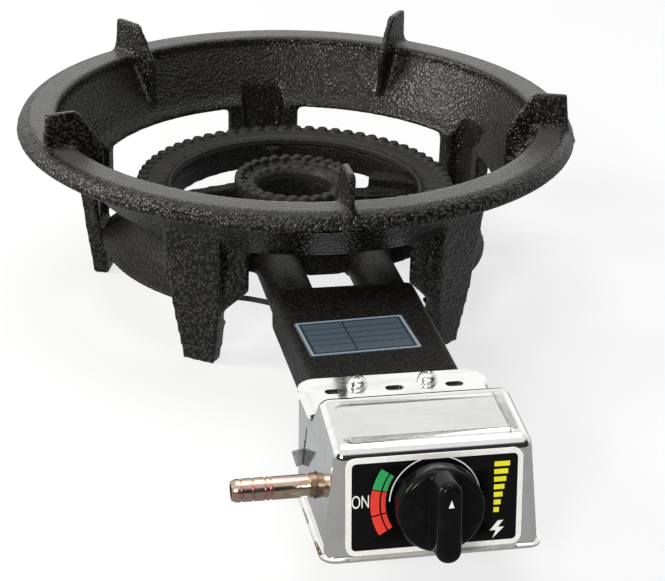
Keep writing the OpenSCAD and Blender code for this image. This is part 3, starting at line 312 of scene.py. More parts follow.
def yellow_passivate(name, colours):
    """Zinc plate with a rainbow passivation: gold, rose and a little green over a bright ground."""
    mat = Finish(name, colours.passivate, 0.2, metallic=1.0)
    drift = mat.noise(7, 2.0, 0.5, mat.stretched((0.6, 1.0, 1.4)))
    fine = mat.noise(2.2, 3.0)
    blush = mat.spread(mat.sum(drift, fine, 0.3), 0.52, 0.72)
    rose = mat.blend(blush, colours.passivate, colours.rose)
    green = mat.spread(mat.sum(mat.noise(5, 2.0), fine, 0.25), 0.66, 0.8, 0, 0.75)
    mat.feed("Base Color", mat.blend(green, rose, (0.33, 0.42, 0.27)))
    mat.feed("Roughness", mat.spread(fine, 0.3, 0.7, 0.14, 0.28))
    mat.bump(fine, 0.01)
    return mat.material


def moulded_plastic(name, colour, roughness, scuffs=0.12, sheen=0.5):
    """Moulded plastic with a slight orange peel and a few scuffs."""
    mat = Finish(name, colour, roughness, sheen=sheen)
    peel = mat.noise(1.3, 1.0)
    worn = mat.spread(mat.noise(5, 5.0, 0.65), 0.5, 0.75)
    dull = mat.spread(peel, 0.3, 0.7, roughness * 0.85, roughness * 1.15)
    mat.feed("Roughness", mat.sum(dull, worn, scuffs))
    mat.feed("Base Color", mat.blend(worn, colour, [c * 1.25 + 0.004 for c in colour]))
    mat.bump(mat.sum(peel, worn, 0.3), 0.01)
    return mat.material


def screen_print(name, colour, roughness=0.35, sheen=0.15):
    """Ink on a lacquered plate, a shade uneven."""
    mat = Finish(name, colour, roughness, sheen=sheen)
    mottle = mat.noise(1.5, 3.0)
    mat.colour(mottle, 0.3, 0.8, colour, tint(colour, 0.86))
    mat.feed("Roughness", mat.spread(mottle, 0.3, 0.7, roughness * 0.8, roughness * 1.2))
    mat.bump(mottle, 0.006)
    return mat.material


def soft_rubber(name):
    """Matt black rubber with a fine dusty bloom."""
    colour = (0.02, 0.02, 0.02)
    mat = Finish(name, colour, 0.7)
    bloom = mat.noise(2.5, 5.0, 0.6)
    mat.colour(bloom, 0.4, 0.8, colour, [c * 0.7 + 0.02 for c in colour])
    mat.feed("Roughness", mat.spread(bloom, 0.3, 0.7, 0.6, 0.8))
    mat.bump(mat.noise(0.5, 2.0), 0.02)
    return mat.material


def glazed_ceramic(name):
    """Off-white glazed ceramic with a few dark specks."""
    colour = (0.78, 0.74, 0.66)
    mat = Finish(name, colour, 0.2)
    specks = mat.spread(mat.noise(1.1, 2.0), 0.68, 0.76, 0, 0.6)
    mat.feed("Base Color", mat.blend(specks, colour, (0.25, 0.2, 0.15)))
    mat.feed("Roughness", mat.spread(mat.noise(4), 0.3, 0.7, 0.15, 0.3))
    mat.bump(mat.noise(3), 0.02)
    return mat.material


def length(label, words, mm):
    """A length of the panel, from its value in millimetres."""
    return FloatProperty(name=label, description=words, default=mm * MM, unit="LENGTH")


def tone(label, words, value):
    """A colour of the panel."""
    return FloatVectorProperty(
        name=label, description=words, default=value, size=3, subtype="COLOR", min=0, max=1
    )


class CookerSizes(PropertyGroup):
    """Sizes that the finished pieces are drawn with."""

    skin_cell: length("Casting cell", "Cell of the pan support's and burner's skin", 1.5)
    ring_cell: length("Ring cell", "Cell of the flame rings' skin", 0.75)
    pebble: length("Pebble", "Width of the enamel's pebbles", 1.8)
    edge: length("Box edge", "Radius of the box's pressed edges", 5)
    sheet: length("Sheet", "Thickness of the box's sheet", 1.2)
    emboss: length("Emboss", "Rise of the panel on the box's top", 0.45)
    border: length("Border", "Width of the faceplate's pale border", 2.4)
    grip: length("Grip", "Width of the knob's grip", 11.5)
    steps: IntProperty(
        name="Steps", description="Steps of a full turn on turned pieces", default=64, min=12,
        max=128
    )


class CookerColours(PropertyGroup):
    """Colours that the finishes start from."""

    enamel: tone("Enamel", "Black enamel of the castings", (0.0078, 0.0071, 0.0060))
    iron: tone("Iron", "Iron of the flame rings", (0.0105, 0.010, 0.0092))
    rust: tone("Rust", "Rust in the iron's pores", (0.045, 0.026, 0.015))
    chrome: tone("Chrome", "Chromed sheet of the control box", (0.84, 0.84, 0.83))
    passivate: tone("Passivate", "Gold ground of the inlet pipe", (0.56, 0.46, 0.33))
    rose: tone("Rose", "Rose tint of the inlet pipe", (0.58, 0.34, 0.32))
    knob: tone("Knob", "Black plastic of the knob", (0.004, 0.004, 0.0045))
    red: tone("Red", "Red band of the flame scale", (0.75, 0.045, 0.03))
    green: tone("Green", "Green band of the flame scale", (0.03, 0.34, 0.10))
    yellow: tone("Yellow", "Yellow print of the faceplate", (0.80, 0.74, 0.02))
    foil: tone("Foil", "Blue-grey rating foil", (0.050, 0.072, 0.092))


def settings(context):
    """The panel's sizes and colours."""
    return context.scene.cooker_sizes, context.scene.cooker_colours


def link(name, mesh, finishes):
    """A new object at the origin, with its finishes."""
    made = bpy.data.objects.new(name, mesh)
    bpy.context.scene.collection.objects.link(made)
    for finish in finishes:
        mesh.materials.append(finish)
    return made


def mark_creases(bm, crease):
    """Makes the edges sharp that turn by more than crease degrees."""
    for edge in bm.edges:
        edge.smooth = edge.calc_face_angle(0.0) < math.radians(crease)


def draw(name, bm, finishes, place, crease=35):
    """Places a drawing and makes it an object, smooth except over creases."""
    bm.transform(place)
    for face in bm.faces:
        face.smooth = True
    mark_creases(bm, crease)
    mesh = bpy.data.meshes.new(name)
    bm.to_mesh(mesh)
    bm.free()
    return link(name, mesh, finishes)


def final_mesh(made):
    """The mesh that an object has after its modifiers or its bevel."""
    graph = bpy.context.evaluated_depsgraph_get()
    return bpy.data.meshes.new_from_object(made.evaluated_get(graph), depsgraph=graph)


def settle(made, crease=None):
    """Bakes the object's modifiers into its mesh, and marks creases again if asked."""
    mesh = final_mesh(made)
    mesh.name = made.name
    made.modifiers.clear()
    made.data = mesh
    if crease:
        bm = bmesh.new()
        bm.from_mesh(mesh)
        mark_creases(bm, crease)
        bm.to_mesh(mesh)
        bm.free()


def modify(made, kind, **settings):
    """Adds a modifier."""
    step = made.modifiers.new(kind, kind)
    for key, value in settings.items():
        setattr(step, key, value)


def cut(made, *cutters, crease=None):
    """Takes the cutters' forms out of a piece, and marks creases again if asked."""
    for cutter in cutters:
        modify(made, "BOOLEAN", operation="DIFFERENCE", solver="EXACT", object=cutter)
    settle(made, crease)
    for cutter in cutters:
        bpy.data.objects.remove(cutter)


def melt(made, cell, passes):
    """Gives a piece one closed skin of even cells, and melts its edges into fillets."""
    modify(made, "REMESH", mode="VOXEL", voxel_size=cell, use_smooth_shade=True)
    modify(made, "SMOOTH", factor=0.5, iterations=passes)
    settle(made)


def drawing(curve):
    """The drawing of a curve or a word."""
    rough = bpy.data.objects.new(curve.name, curve)
    bpy.context.scene.collection.objects.link(rough)
    mesh = final_mesh(rough)
    bpy.data.objects.remove(rough)
    bm = bmesh.new()
    bm.from_mesh(mesh)
    return bm


def fresh(made, kind=BMVert):
    """The new elements of one kind in what an extrusion hands back."""
    return [item for item in made["geom"] if isinstance(item, kind)]


def bevel(bm, geom, width, segments, affect="EDGES"):
    """Rounds edges, or the corners of flat faces."""
    bmesh.ops.bevel(
        bm, geom=geom, offset=width, offset_type="OFFSET", segments=segments, profile=0.5,
        affect=affect, clamp_overlap=True, material=-1
    )


def outward(bm):
    """Turns all faces of closed forms outwards."""
    bmesh.ops.recalc_face_normals(bm, faces=bm.faces)


def turned(bm, profile, steps, place=Matrix()):
    """Spins a closed profile of radius and height round +Z, and puts the form in place."""
    before = set(bm.verts)
    line = [bm.verts.new((radius, 0, height)) for radius, height in profile]
    sides = [bm.edges.new(pair) for pair in zip(line, line[1:])]
    bmesh.ops.spin(
        bm, geom=line + sides, cent=(0, 0, 0), axis=(0, 0, 1), angle=math.tau, steps=steps,
        use_merge=True, use_duplicate=False
    )
    new = [v for v in bm.verts if v not in before]
    bmesh.ops.remove_doubles(bm, verts=new, dist=0.0005)
    new = [v for v in bm.verts if v not in before]
    bmesh.ops.transform(bm, matrix=place, verts=new)
    outward(bm)
    return new


def rod(bm, radius, low, high, steps, place=Matrix()):
    """A closed cylinder from low to high along +Z, put in place."""
    return turned(bm, [(0, low), (radius, low), (radius, high), (0, high)], steps, place)


def block(bm, size, place):
    """A block of a size, in place."""
    return bmesh.ops.create_cube(bm, size=1, matrix=place @ Matrix.Diagonal((*size, 1)))["verts"]


def round_plate(bm, width, height, radius, thickness):
    """A plate with round corners that stands on the XY plane. Hands back its upper faces."""
    corners = bmesh.ops.create_grid(bm, x_segments=1, y_segments=1, size=0.5)["verts"]
    bmesh.ops.transform(bm, matrix=Matrix.Diagonal((width, height, 1, 1)), verts=corners)
    bevel(bm, corners, radius, 8, "VERTICES")
    made = bmesh.ops.extrude_face_region(bm, geom=list(bm.faces))
    bmesh.ops.translate(bm, verts=fresh(made), vec=(0, 0, thickness))
    outward(bm)
    return fresh(made, BMFace)


def face_up(face, finish):
    """Turns a flat face upwards and gives it a finish by its number."""
    face.material_index = finish
    face.normal_update()
    if face.normal.z < 0:
        face.normal_flip()


def arc_strip(bm, inner, outer, start, end, z, finish, steps=24):
    """A flat strip between two radii, from one angle to another, anticlockwise from +Y."""
    line = [bm.verts.new((0, radius, z)) for radius in (inner, outer)]
    turn = Matrix.Rotation(math.radians(start), 3, "Z")
    bmesh.ops.rotate(bm, verts=line, cent=(0, 0, 0), matrix=turn)
    before = set(bm.faces)
    bmesh.ops.spin(
        bm, geom=line + [bm.edges.new(line)], cent=(0, 0, 0), axis=(0, 0, 1),
        angle=math.radians(end - start), steps=steps, use_merge=False, use_duplicate=False
    )
    for face in [f for f in bm.faces if f not in before]:
        face_up(face, finish)


def outline(bm, points, z, finish):
    """A small flat figure of straight sides at z."""
    face_up(bm.faces.new([bm.verts.new((x, y, z)) for x, y in points]), finish)


def bar(bm, middle, size, z, finish):
    """A flat rectangle at z."""
    (x, y), (a, b) = middle, (size[0] / 2, size[1] / 2)
    outline(bm, [(x - a, y - b), (x + a, y - b), (x + a, y + b), (x - a, y + b)], z, finish)


def wire(name, points, radius, finish, place, sides=3):
    """A round wire along points in millimetres, as a mesh."""
    curve = bpy.data.curves.new(name, "CURVE")
    curve.dimensions = "3D"
    curve.bevel_depth = radius
    curve.bevel_resolution = sides
    curve.use_fill_caps = True
    line = curve.splines.new("POLY")
    line.points.add(len(points) - 1)
    for point, place_mm in zip(line.points, points):
        point.co = (*place_mm, 1)
    bm = drawing(curve)
    bmesh.ops.remove_doubles(bm, verts=bm.verts, dist=0.001)
    outward(bm)
    return draw(name, bm, [finish], place, 60)


def through(points, per):
    """Points of a smooth curve through the given ones, with per points for each stretch."""
    points = [Vector(p) for p in points]
    ends = [points[0], *points, points[-1]]
    made = []
    for a, b, c, d in zip(ends, ends[1:], ends[2:], ends[3:]):
        bend, swing = 2 * a - 5 * b + 4 * c - d, 3 * b - a - 3 * c + d
        for t in (k / per for k in range(per)):
            made.append(0.5 * (2 * b + (c - a) * t + bend * t**2 + swing * t**3))
    return made + [points[-1]]


def coil(radius, low, high, turns):
    """Points of a coil round +Z."""
    per_turn = 24
    steps = turns * per_turn
    spins = [math.tau * i / per_turn for i in range(steps + 1)]
    return [
        Vector((radius * math.cos(spin), radius * math.sin(spin), low + (high - low) * i / steps))
        for i, spin in enumerate(spins)
    ]


def keep(made, body, slot, *nodes):
    """Ties a finished piece to its body and hides the nodes that it stands for. The slot is not
    used.
    """
    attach(made, body)
    if nodes:
        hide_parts(*nodes)


def collar_tool():
    """A tool for the hole that the knob's collar passes through."""
    bm = bmesh.new()
    rod(bm, COLLAR_HOLE, -4, 4, 48)
    return draw("collar_tool", bm, [], FACE)


def cast_piece(name, node, cell, passes, finish, slot):
    """A copy of a casting's solid with its edges melted into cast fillets, for the node."""
    bm = bmesh.new()
    bm.from_mesh(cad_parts[node].data)
    bmesh.ops.remove_doubles(bm, verts=bm.verts, dist=0.002 * MM)
    mesh = bpy.data.meshes.new(name)
    bm.to_mesh(mesh)
    bm.free()
    made = link(name, mesh, [finish])
    melt(made, cell, passes)
    keep(made, "root", slot, node)


class COOKER_OT_stage(Operator):
    """Puts up the floor, the light and the camera"""

    bl_idname = "cooker.stage"
    bl_label = "Stage"

    def execute(self, context):
        scene = context.scene
        scene.view_settings.view_transform = "Standard"
        bm = bmesh.new()
        half_floor = 4000
        bmesh.ops.create_grid(bm, x_segments=8, y_segments=8, size=half_floor)
        floor = draw("floor", bm, [self.floor_paint()], Matrix.Scale(MM, 4))
        self.world(scene)
        self.lamp("left", (-1.75, 0.25, 1.02), 0.7, 34, (1.0, 0.95, 0.88))
        self.lamp("front", (-0.95, -1.75, 1.0), 0.4, 24, (1.0, 0.98, 0.95))
        self.lamp("top", (0.1, 0.35, 2.0), 1.5, 20, (0.97, 0.98, 1.0))
        self.camera(scene)
        return {"FINISHED"}

    def floor_paint(self):
        """Pale floor, near white to the camera. Polished metal sees it greyer, most so in front."""
        paint = (0.80, 0.80, 0.80)
        mat = Finish("floor_paint", paint, 0.9, sheen=0.2)
        mat.feed("Base Color", mat.blend(mat.noise(60, 4.0), paint, (0.82, 0.82, 0.82)))
        path = mat.node("ShaderNodeLightPath").outputs
        glossy = path["Is Glossy Ray"]
        seen = mat.maths("MAXIMUM", path["Is Camera Ray"], glossy)
        share = mat.times(seen, mat.spread(glossy, 0, 1, 0.72, 0.9))
        along = mat.node("ShaderNodeSeparateXYZ", {0: mat.place}).outputs["Y"]
        back = mat.spread(along, -0.17, -0.09)
        grey = mat.blend(back, (0.29, 0.29, 0.285), (0.46, 0.475, 0.485))
        plain = mat.blend(glossy, (1, 1, 1), grey)
        glow = mat.node("ShaderNodeEmission", {"Color": plain}).outputs[0]
        mix = mat.mix(share, mat.shader.outputs[0], glow)
        mat.tree.links.new(mix, mat.tree.nodes["Material Output"].inputs["Surface"])
        return mat.material

    def world(self, scene):
        """Even pale light, and white behind all to the camera.

        Polished metal sees a white room, brighter low down at the far side, with a dark side
        behind the camera.
        """
        world = bpy.data.worlds.new("room")
        scene.world = world
        world.use_nodes = True
        net = Net(world.node_tree)
        net.tree.nodes.clear()

        def light(colour, strength):
            inputs = {"Color": colour, "Strength": strength}
            return net.node("ShaderNodeBackground", inputs).outputs[0]

        def ramp(source, low, high):
            return net.spread(source, low, high, curve="SMOOTHSTEP")

        spot = net.node("ShaderNodeTexCoord").outputs["Generated"]
        way = net.node("ShaderNodeSeparateXYZ", {0: spot}).outputs
        path = net.node("ShaderNodeLightPath").outputs
        pale = net.maths("MAXIMUM", ramp(way["Y"], -0.35, 0.1), ramp(way["Z"], 0.56, 0.72))
        room = net.blend(pale, (0.03, 0.03, 0.031), (0.92, 0.92, 0.91))
        glow = net.times(ramp(way["Z"], 0.62, 0.45), ramp(way["Y"], 0.35, 0.7))
        shown = light(room, net.maths("MULTIPLY_ADD", glow, 0.25, 1.0))
        seen = net.maths("MAXIMUM", path["Is Glossy Ray"], path["Is Transmission Ray"])
        inside = net.mix(seen, light((0.96, 0.98, 1.0, 1), 0.4), shown)
        sky = net.mix(path["Is Camera Ray"], inside, light((1, 1, 1, 1), 1.0))
        net.node("ShaderNodeOutputWorld", {"Surface": sky})

    def lamp(self, name, place, size, power, colour):
        """A soft square lamp that looks at the middle of the cooker."""
        light = bpy.data.lights.new(name, "AREA")
        light.size = size
        light.energy = power
        light.color = colour
        made = bpy.data.objects.new(name, light)
        made.location = place
        middle = Vector((0, 0, 0.05))
        made.rotation_euler = (middle - made.location).to_track_quat("-Z", "Y").to_euler()
        bpy.context.scene.collection.objects.link(made)

    def camera(self, scene):
        """The photograph's viewpoint: close, in front and to the left, looking down."""
        lens = bpy.data.cameras.new("camera")
        lens.sensor_width = SENSOR
        lens.lens = PHOTO_FOCAL * SENSOR / PHOTO_WIDTH
        made = bpy.data.objects.new("camera", lens)
        ahead = SIGHT.normalized()
        level = ahead.cross(Vector((0, 0, 1))).normalized()
        above = level.cross(ahead)
        right = level * math.cos(ROLL) + above * math.sin(ROLL)
        up = above * math.cos(ROLL) - level * math.sin(ROLL)
        turn = Matrix((right, up, -ahead)).transposed().to_4x4()
        made.matrix_world = Matrix.Translation(EYE) @ turn
        scene.collection.objects.link(made)
        scene.camera = made


class COOKER_OT_castings(Operator):
    """Makes the pan support and the burner body"""

    bl_idname = "cooker.castings"
    bl_label = "Castings"

    def execute(self, context):
        sizes, colours = settings(context)
        # 0.055: grey of the painted top light; 6.5: peak of the pale speckle, partly painted glints
        enamel = pebbled_enamel(
            "pebbled_enamel", colours.enamel, sizes.pebble / MM, 0.5, (0.16, 0.33), 0.055, 6.5, 0.26
        )
        fine = pebbled_enamel("fine_enamel", colours.enamel)
        cell = sizes.skin_cell
        finer = cell * 0.93
        cast_piece("pan_support_cast", "pan_support", cell, 4, enamel, "cast_iron_coated")
        cast_piece("burner_cast", "burner_body", finer, 3, fine, "cast_iron_burner")
        return {"FINISHED"}


class COOKER_OT_flame_rings(Operator):
    """Makes the two flame rings with their rounded teeth and ports"""

    bl_idname = "cooker.flame_rings"
    bl_label = "Flame rings"

    def execute(self, context):
        sizes, colours = settings(context)
        iron = sooty_iron("sooty_iron", colours)
        cell = sizes.ring_cell
        cast_piece("outer_ring_cast", "outer_flame_ring", cell, 3, iron, "cast_iron_ring")
        cast_piece("inner_ring_cast", "inner_flame_ring", cell, 3, iron, "cast_iron_ring")
        return {"FINISHED"}


class COOKER_OT_control_box(Operator):
    """Presses the control box out of one sheet: body, raised panel, rear flange and flared lip"""

    bl_idname = "cooker.control_box"
    bl_label = "Control box"

    def execute(self, context):
        sizes, colours = settings(context)
        plate = mirror_plate("mirror_plate", colours.chrome)
        bm = bmesh.new()
        self.body(bm)
        folds = [e for e in bm.edges if len(e.link_faces) == 2 and e.calc_face_angle(0.0) > 0.35]
        bevel(bm, folds, sizes.edge / MM, 8)
        self.panel(bm, sizes.emboss / MM)
        self.lip(bm)
        made = draw("control_box_shell", bm, [plate], RING)
        modify(made, "SOLIDIFY", thickness=sizes.sheet, offset=-1, use_even_offset=True)
        settle(made)
        cut(made, *self.cutters(), collar_tool(), crease=32)
        modify(made, "WEIGHTED_NORMAL", keep_sharp=True, weight=90)
        settle(made)
        keep(made, "root", "plated_sheet", "control_box")
        return {"FINISHED"}

    def body(self, bm):
        """The side's outline drawn across: top, front, flange on the neck and the riser's foot."""
        rear_y, tongue_length, tongue_corner = -262, 13, 10
        riser_y, foot_z, foot_r = -281.5, 76.7, 12
        half_width, width_z, widening = 44.1, 80, 0.083
        turns = [math.radians(9.75 * i) for i in range(7)]
        foot = [(riser_y - foot_r * math.sin(a), foot_z - foot_r * math.cos(a)) for a in turns]
        top = ((-299, 82.3), (-340.2, 77))
        low = ((-346.9, LOW_Z), (-281, LOW_Z))
        side_mm = (*top, *low, (rear_y, FLANGE_Z), *foot)
        side = bm.faces.new([bm.verts.new((-1, y, z)) for y, z in side_mm])
        made = bmesh.ops.extrude_face_region(bm, geom=[side])
        bmesh.ops.translate(bm, verts=fresh(made), vec=(2, 0, 0))
        for vert in bm.verts:
            vert.co.x *= half_width + (width_z - vert.co.z) * widening
        outward(bm)
        under = [
            f for f in bm.faces
            if f.normal.z < -0.4 or (f.normal.y > 0.6 and f.calc_center_median().z < 60)
        ]
        bmesh.ops.delete(bm, geom=under, context="FACES_ONLY")
        rear = next(e for e in bm.edges if all(abs(v.co.y - rear_y) < 0.1 for v in e.verts))
        tongue = fresh(bmesh.ops.extrude_edge_only(bm, edges=[rear]))
        bmesh.ops.translate(bm, verts=tongue, vec=(0, tongue_length, 0))
        bevel(bm, tongue, tongue_corner, 8, "VERTICES")
        outward(bm)
        if max(bm.faces, key=lambda f: f.calc_center_median().z).normal.z < 0:
            bmesh.ops.reverse_faces(bm, faces=bm.faces)

    def panel(self, bm, rise):
        """The raised panel of the top, with round corners and soft sides."""
        def top_face():
            bm.normal_update()
            flat = [f for f in bm.faces if f.normal.z > 0.9 and f.calc_center_median().z > 70]
            return max(flat, key=lambda f: f.calc_area())

        margin, corner = 1.2, 4
        top = top_face()
        bmesh.ops.inset_region(bm, faces=[top], thickness=margin, use_even_offset=True)
        bevel(bm, list(top.verts), corner, 5, "VERTICES")
        top = top_face()
        for thickness, depth in ((0.5, 0.1), (0.6, 0.4), (0.6, 0.4), (0.5, 0.1)):
            bmesh.ops.inset_region(
                bm, faces=[top], thickness=thickness, depth=depth * rise, use_even_offset=True
            )

    def lip(self, bm):
        """The flare round the lower edge."""
        bm.normal_update()
        low = [e for e in bm.edges if e.is_boundary and max(v.co.z for v in e.verts) < LOW_Z + 0.2]
        for out, drop in ((0.35, 0.45), (0.75, 0.35), (0.9, 0.1)):
            ways = {
                v.index: Vector((v.normal.x, v.normal.y, 0)).normalized()
                for e in low for v in e.verts
            }
            made = bmesh.ops.extrude_edge_only(bm, edges=low)
            rim = fresh(made)
            for vert in rim:
                near = (e.other_vert(vert) for e in vert.link_edges)
                source = next(v for v in near if v not in rim)
                vert.co += ways[source.index] * out - Vector((0, 0, drop))
            low = fresh(made, BMEdge)
            bm.verts.index_update()
            bm.normal_update()

    def cutters(self):
        """Tools for the lever's slot, the pipe's hole, the screw holes and the oval holes."""
        slot_size, slot_middle, slot_corner = (12, 3.0, 19), (-48, -285.2, 49.5), 1.2
        pipe_hole, screw_hole, oval_hole = 6.3, 2.6, 2.4
        oval_x, oval_y, oval_stretch = 29, -263, 2
        bm = bmesh.new()
        block(bm, slot_size, at(*slot_middle))
        across = [e for e in bm.edges if abs(e.verts[0].co.x - e.verts[1].co.x) > 5]
        bevel(bm, across, slot_corner, 4)
        slot = draw("slot_tool", bm, [], RING)
        bm = bmesh.new()
        rod(bm, pipe_hole, 36, 60, 40)
        pipe = draw("pipe_tool", bm, [], PIPE)
        bm = bmesh.new()
        for x in (-SCREW_X, SCREW_X):
            rod(bm, screw_hole, -4, 4, 32, at(x, SCREW_Y, 64))
        for x in (-oval_x, 0, oval_x):
            for vert in rod(bm, oval_hole, -4, 4, 32, at(x, oval_y, 64)):
                vert.co.x += math.copysign(oval_stretch, vert.co.x - x)
        holes = draw("hole_tool", bm, [], RING)
        return slot, pipe, holes


class COOKER_OT_faceplate(Operator):
    """Makes the printed faceplate with its border, flame scale and switch word"""

    bl_idname = "cooker.faceplate"
    bl_label = "Faceplate"

    def execute(self, context):
        sizes, colours = settings(context)
        black = screen_print("print_black", (0.004, 0.004, 0.0045), 0.2, 0.1)
        white = screen_print("print_white", (0.80, 0.79, 0.76))
        inks = [black, white]
        for name in ("red", "green", "yellow"):
            inks.append(screen_print("print_" + name, getattr(colours, name)))
        bm = bmesh.new()
        top = round_plate(bm, *FACEPLATE)
        below_axis = 1
        bmesh.ops.translate(bm, verts=bm.verts, vec=(0, -below_axis, 0))
        for face in bm.faces:
            face.material_index = 1
        margin = 0.35
        for width in (margin, sizes.border / MM - margin):
            bmesh.ops.inset_region(bm, faces=top, thickness=width, use_even_offset=True)
        for face in top:
            face.material_index = 0
        plate = draw("faceplate_print", bm, inks, FACE, 30)
        cut(plate, collar_tool())
        keep(plate, "root", "faceplate_print", "faceplate")
        self.scale(inks)
        return {"FINISHED"}

    def scale(self, inks):
        """The ring line, red and green bands, bars, spark sign and switch word."""
        z = FACEPLATE_INK_Z
        white, red, green, yellow = range(1, 5)
        bm = bmesh.new()
        arc_strip(bm, 20.0, 20.55, -88, 88, z, white, 64)
        for inner, outer in ((24.8, 28.8), (22.1, 24.1)):
            for start, end, colour in ((56, 76, green), (77, 101, red), (102.4, 121, red)):
                arc_strip(bm, inner, outer, start, end, z, colour)
        bmesh.ops.translate(bm, verts=bm.verts, vec=(0, 0.2, 0))
        bars_x, bars_y, pitch, height = 26.5, -6.85, 3.6, 2.3
        for row in range(7):
            width = 2.5 + row * 0.75
            bar(bm, (bars_x + width / 2, bars_y + row * pitch), (width, height), z, yellow)
        spark = [(28.8, -12.0), (25.0, -16.6), (27.9, -16.6), (26.4, -20.4), (31.6, -15.2)]
        outline(bm, [*spark, (28.7, -15.2), (31.2, -12.0)], z, white)
        marks = draw("scale_print", bm, inks, FACE)
        keep(marks, "root", "faceplate_print")
        words = bpy.data.curves.new("switch_word", "FONT")
        words.body = "ON"
        bm = drawing(words)
        low = Vector([min(v.co[i] for v in bm.verts) for i in range(3)])
        high = Vector([max(v.co[i] for v in bm.verts) for i in range(3)])
        width, height = 7.6, 6.0
        fit = Matrix.Diagonal((width / (high.x - low.x), height / (high.y - low.y), 1, 1))
        bm.transform(at(-37.0, -1.3, z) @ fit @ at(*-low))
        word = draw("switch_word", bm, [inks[white]], FACE)
        keep(word, "root", "faceplate_print")


class COOKER_OT_rating_plate(Operator):
    """Makes the bare rating foil on the neck, with its frame and plain ruled lines"""

    bl_idname = "cooker.rating_plate"
    bl_label = "Rating plate"

    def execute(self, context):
        _, colours = settings(context)
        foil = screen_print("rating_foil", colours.foil, 0.3, 0.6)
        pale = screen_print("rating_frame", [0.16 + c * 1.7 for c in colours.foil], 0.3, 0.6)
        ink = screen_print("rating_ink", (0.012, 0.014, 0.02), 0.4)
        bm = bmesh.new()
        round_plate(bm, *RATING)
        z = RATING_INK_Z
        over = z + 0.004
        lines, frame_lines = 1, 2
        for y in (-17.6, 17.6):
            bar(bm, (0, y), (54.8, 1.2), z, frame_lines)
        for x in (-27.0, 27.0):
            bar(bm, (x, 0), (1.2, 35.2), over, frame_lines)
        rows = ((16.0, 0.9), (-16.0, 0.9), (9.5, 0.6), (3.6, 0.6), (-2.2, 0.6), (-8.0, 0.6))
        for y, width in rows:
            bar(bm, (0, y), (51.6, width), z, lines)
        for x in (-25.4, -4.0, 25.4):
            bar(bm, (x, 0), (0.8, 32), over, lines)
        place = RING @ at(-5.5, -204.5, 63.5) @ spun(3, "Z")
        plate = draw("rating_foil", bm, [foil, ink, pale], place, 30)
        keep(plate, "root", "rating_foil", "rating_plate")
        return {"FINISHED"}


class COOKER_OT_knob(Operator):
    """Moulds the knob: a dished disc with a tall grip, and its white pointer"""

    bl_idname = "cooker.knob"
    bl_label = "Knob"

    def execute(self, context):
        sizes, colours = settings(context)
        plastic = moulded_plastic("knob_plastic", colours.knob, 0.12, 0.06, 0.08)
        bm = bmesh.new()
        disc = [(0, 8.5), (5.4, 8.5), (5.4, 1.4), (6.1, 1.4), (6.1, 4.3), (18.4, 4.3), (19.4, 5.3)]
        disc += [(19.4, 12.0), (18.9, 13.6), (17.6, 14.6), (15.5, 15.0), (0, 15.5)]
        turned(bm, disc, sizes.steps * 2)
        grip_length, grip_height, grip_top, grip_foot = 38.2, 22, 29, 16
        end_radius, top_radius, taper = 5.4, 3.6, 0.97
        middle = at(0, 0, grip_top - grip_height / 2)
        grip = block(bm, (sizes.grip / MM, grip_length, grip_height), middle)
        upright = [
            e for e in bm.edges
            if all(v in grip for v in e.verts) and abs(e.verts[0].co.z - e.verts[1].co.z) > 5
        ]
        for vert in grip:
            if vert.co.z > grip_foot:
                vert.co.x *= taper
                vert.co.y *= taper
        bevel(bm, upright, end_radius, 10)
        nose = [
            e for e in bm.edges
            if min(v.co.z for v in e.verts) > grip_top - 0.1 and e.calc_face_angle(0.0) > 0.8
        ]
        bevel(bm, nose, top_radius, 8)
        outward(bm)
        for vert in bm.verts:
            if vert.co.z > grip_foot:
                waist = max(0.0, 1 - (vert.co.y / 12) ** 2)
                vert.co.x *= 1 - 0.10 * waist * min(1, (vert.co.z - grip_foot) / 4)
        knob = draw("knob_moulding", bm, [plastic], FACE)
        knob_cell = 0.42 * MM
        melt(knob, knob_cell, 8)
        keep(knob, "knob_unit", "knob_plastic", "knob")
        bm = bmesh.new()
        outline(bm, [(-1.25, 8.0), (1.25, 8.0), (0, 11.6)], grip_top + 0.03, 0)
        white = screen_print("pointer_white", (0.82, 0.80, 0.75))
        pointer = draw("knob_pointer", bm, [white], FACE)
        keep(pointer, "knob_unit", "knob_plastic")
        return {"FINISHED"}


class COOKER_OT_fasteners(Operator):
    """Turns the two box screws, with their cross recesses, and the washers under them"""

    bl_idname = "cooker.fasteners"
    bl_label = "Box screws"

    def execute(self, context):
        sizes, _ = settings(context)
        plated = brushed_metal("screw_plate", (0.78, 0.78, 0.76), 0.2, (1, 1, 1), 0.75)
        screws, washers = bmesh.new(), bmesh.new()
        slots = [bmesh.new(), bmesh.new()]
        screw = [(0, -6.1), (2.1, -6.1), (2.4, -5.7), (2.4, 0), (4.3, 0), (4.3, 1.0)]
        screw += [(4.0, 2.0), (3.2, 2.8), (1.8, 3.15), (0, 3.2)]
        washer = [(2.6, 0), (4.9, 0), (5.0, 0.2), (5.0, 0.8), (4.8, WASHER_T), (2.6, WASHER_T)]
        washer += [(2.6, 0)]
        for x, turn in ((-SCREW_X, 20), (SCREW_X, 65)):
            seat = at(x, SCREW_Y, FLANGE_Z + WASHER_T)
            turned(washers, washer, sizes.steps // 2, at(x, SCREW_Y, FLANGE_Z))
            turned(screws, screw, sizes.steps // 2, seat)
            for slot, quarter in zip(slots, (0, 90)):
                block(slot, (4.4, 0.85, 3), seat @ at(0, 0, 3.3) @ spun(turn + quarter, "Z"))
        heads = draw("box_screw_heads", screws, [plated], RING)
        cut(heads, *(draw("recess_tool", slot, [], RING) for slot in slots), crease=32)
        keep(heads, "root", "plated_screw", "box_screws")
        rings = draw("box_screw_washers", washers, [plated], RING)
        keep(rings, "root", "plated_screw", "box_washers")
        return {"FINISHED"}


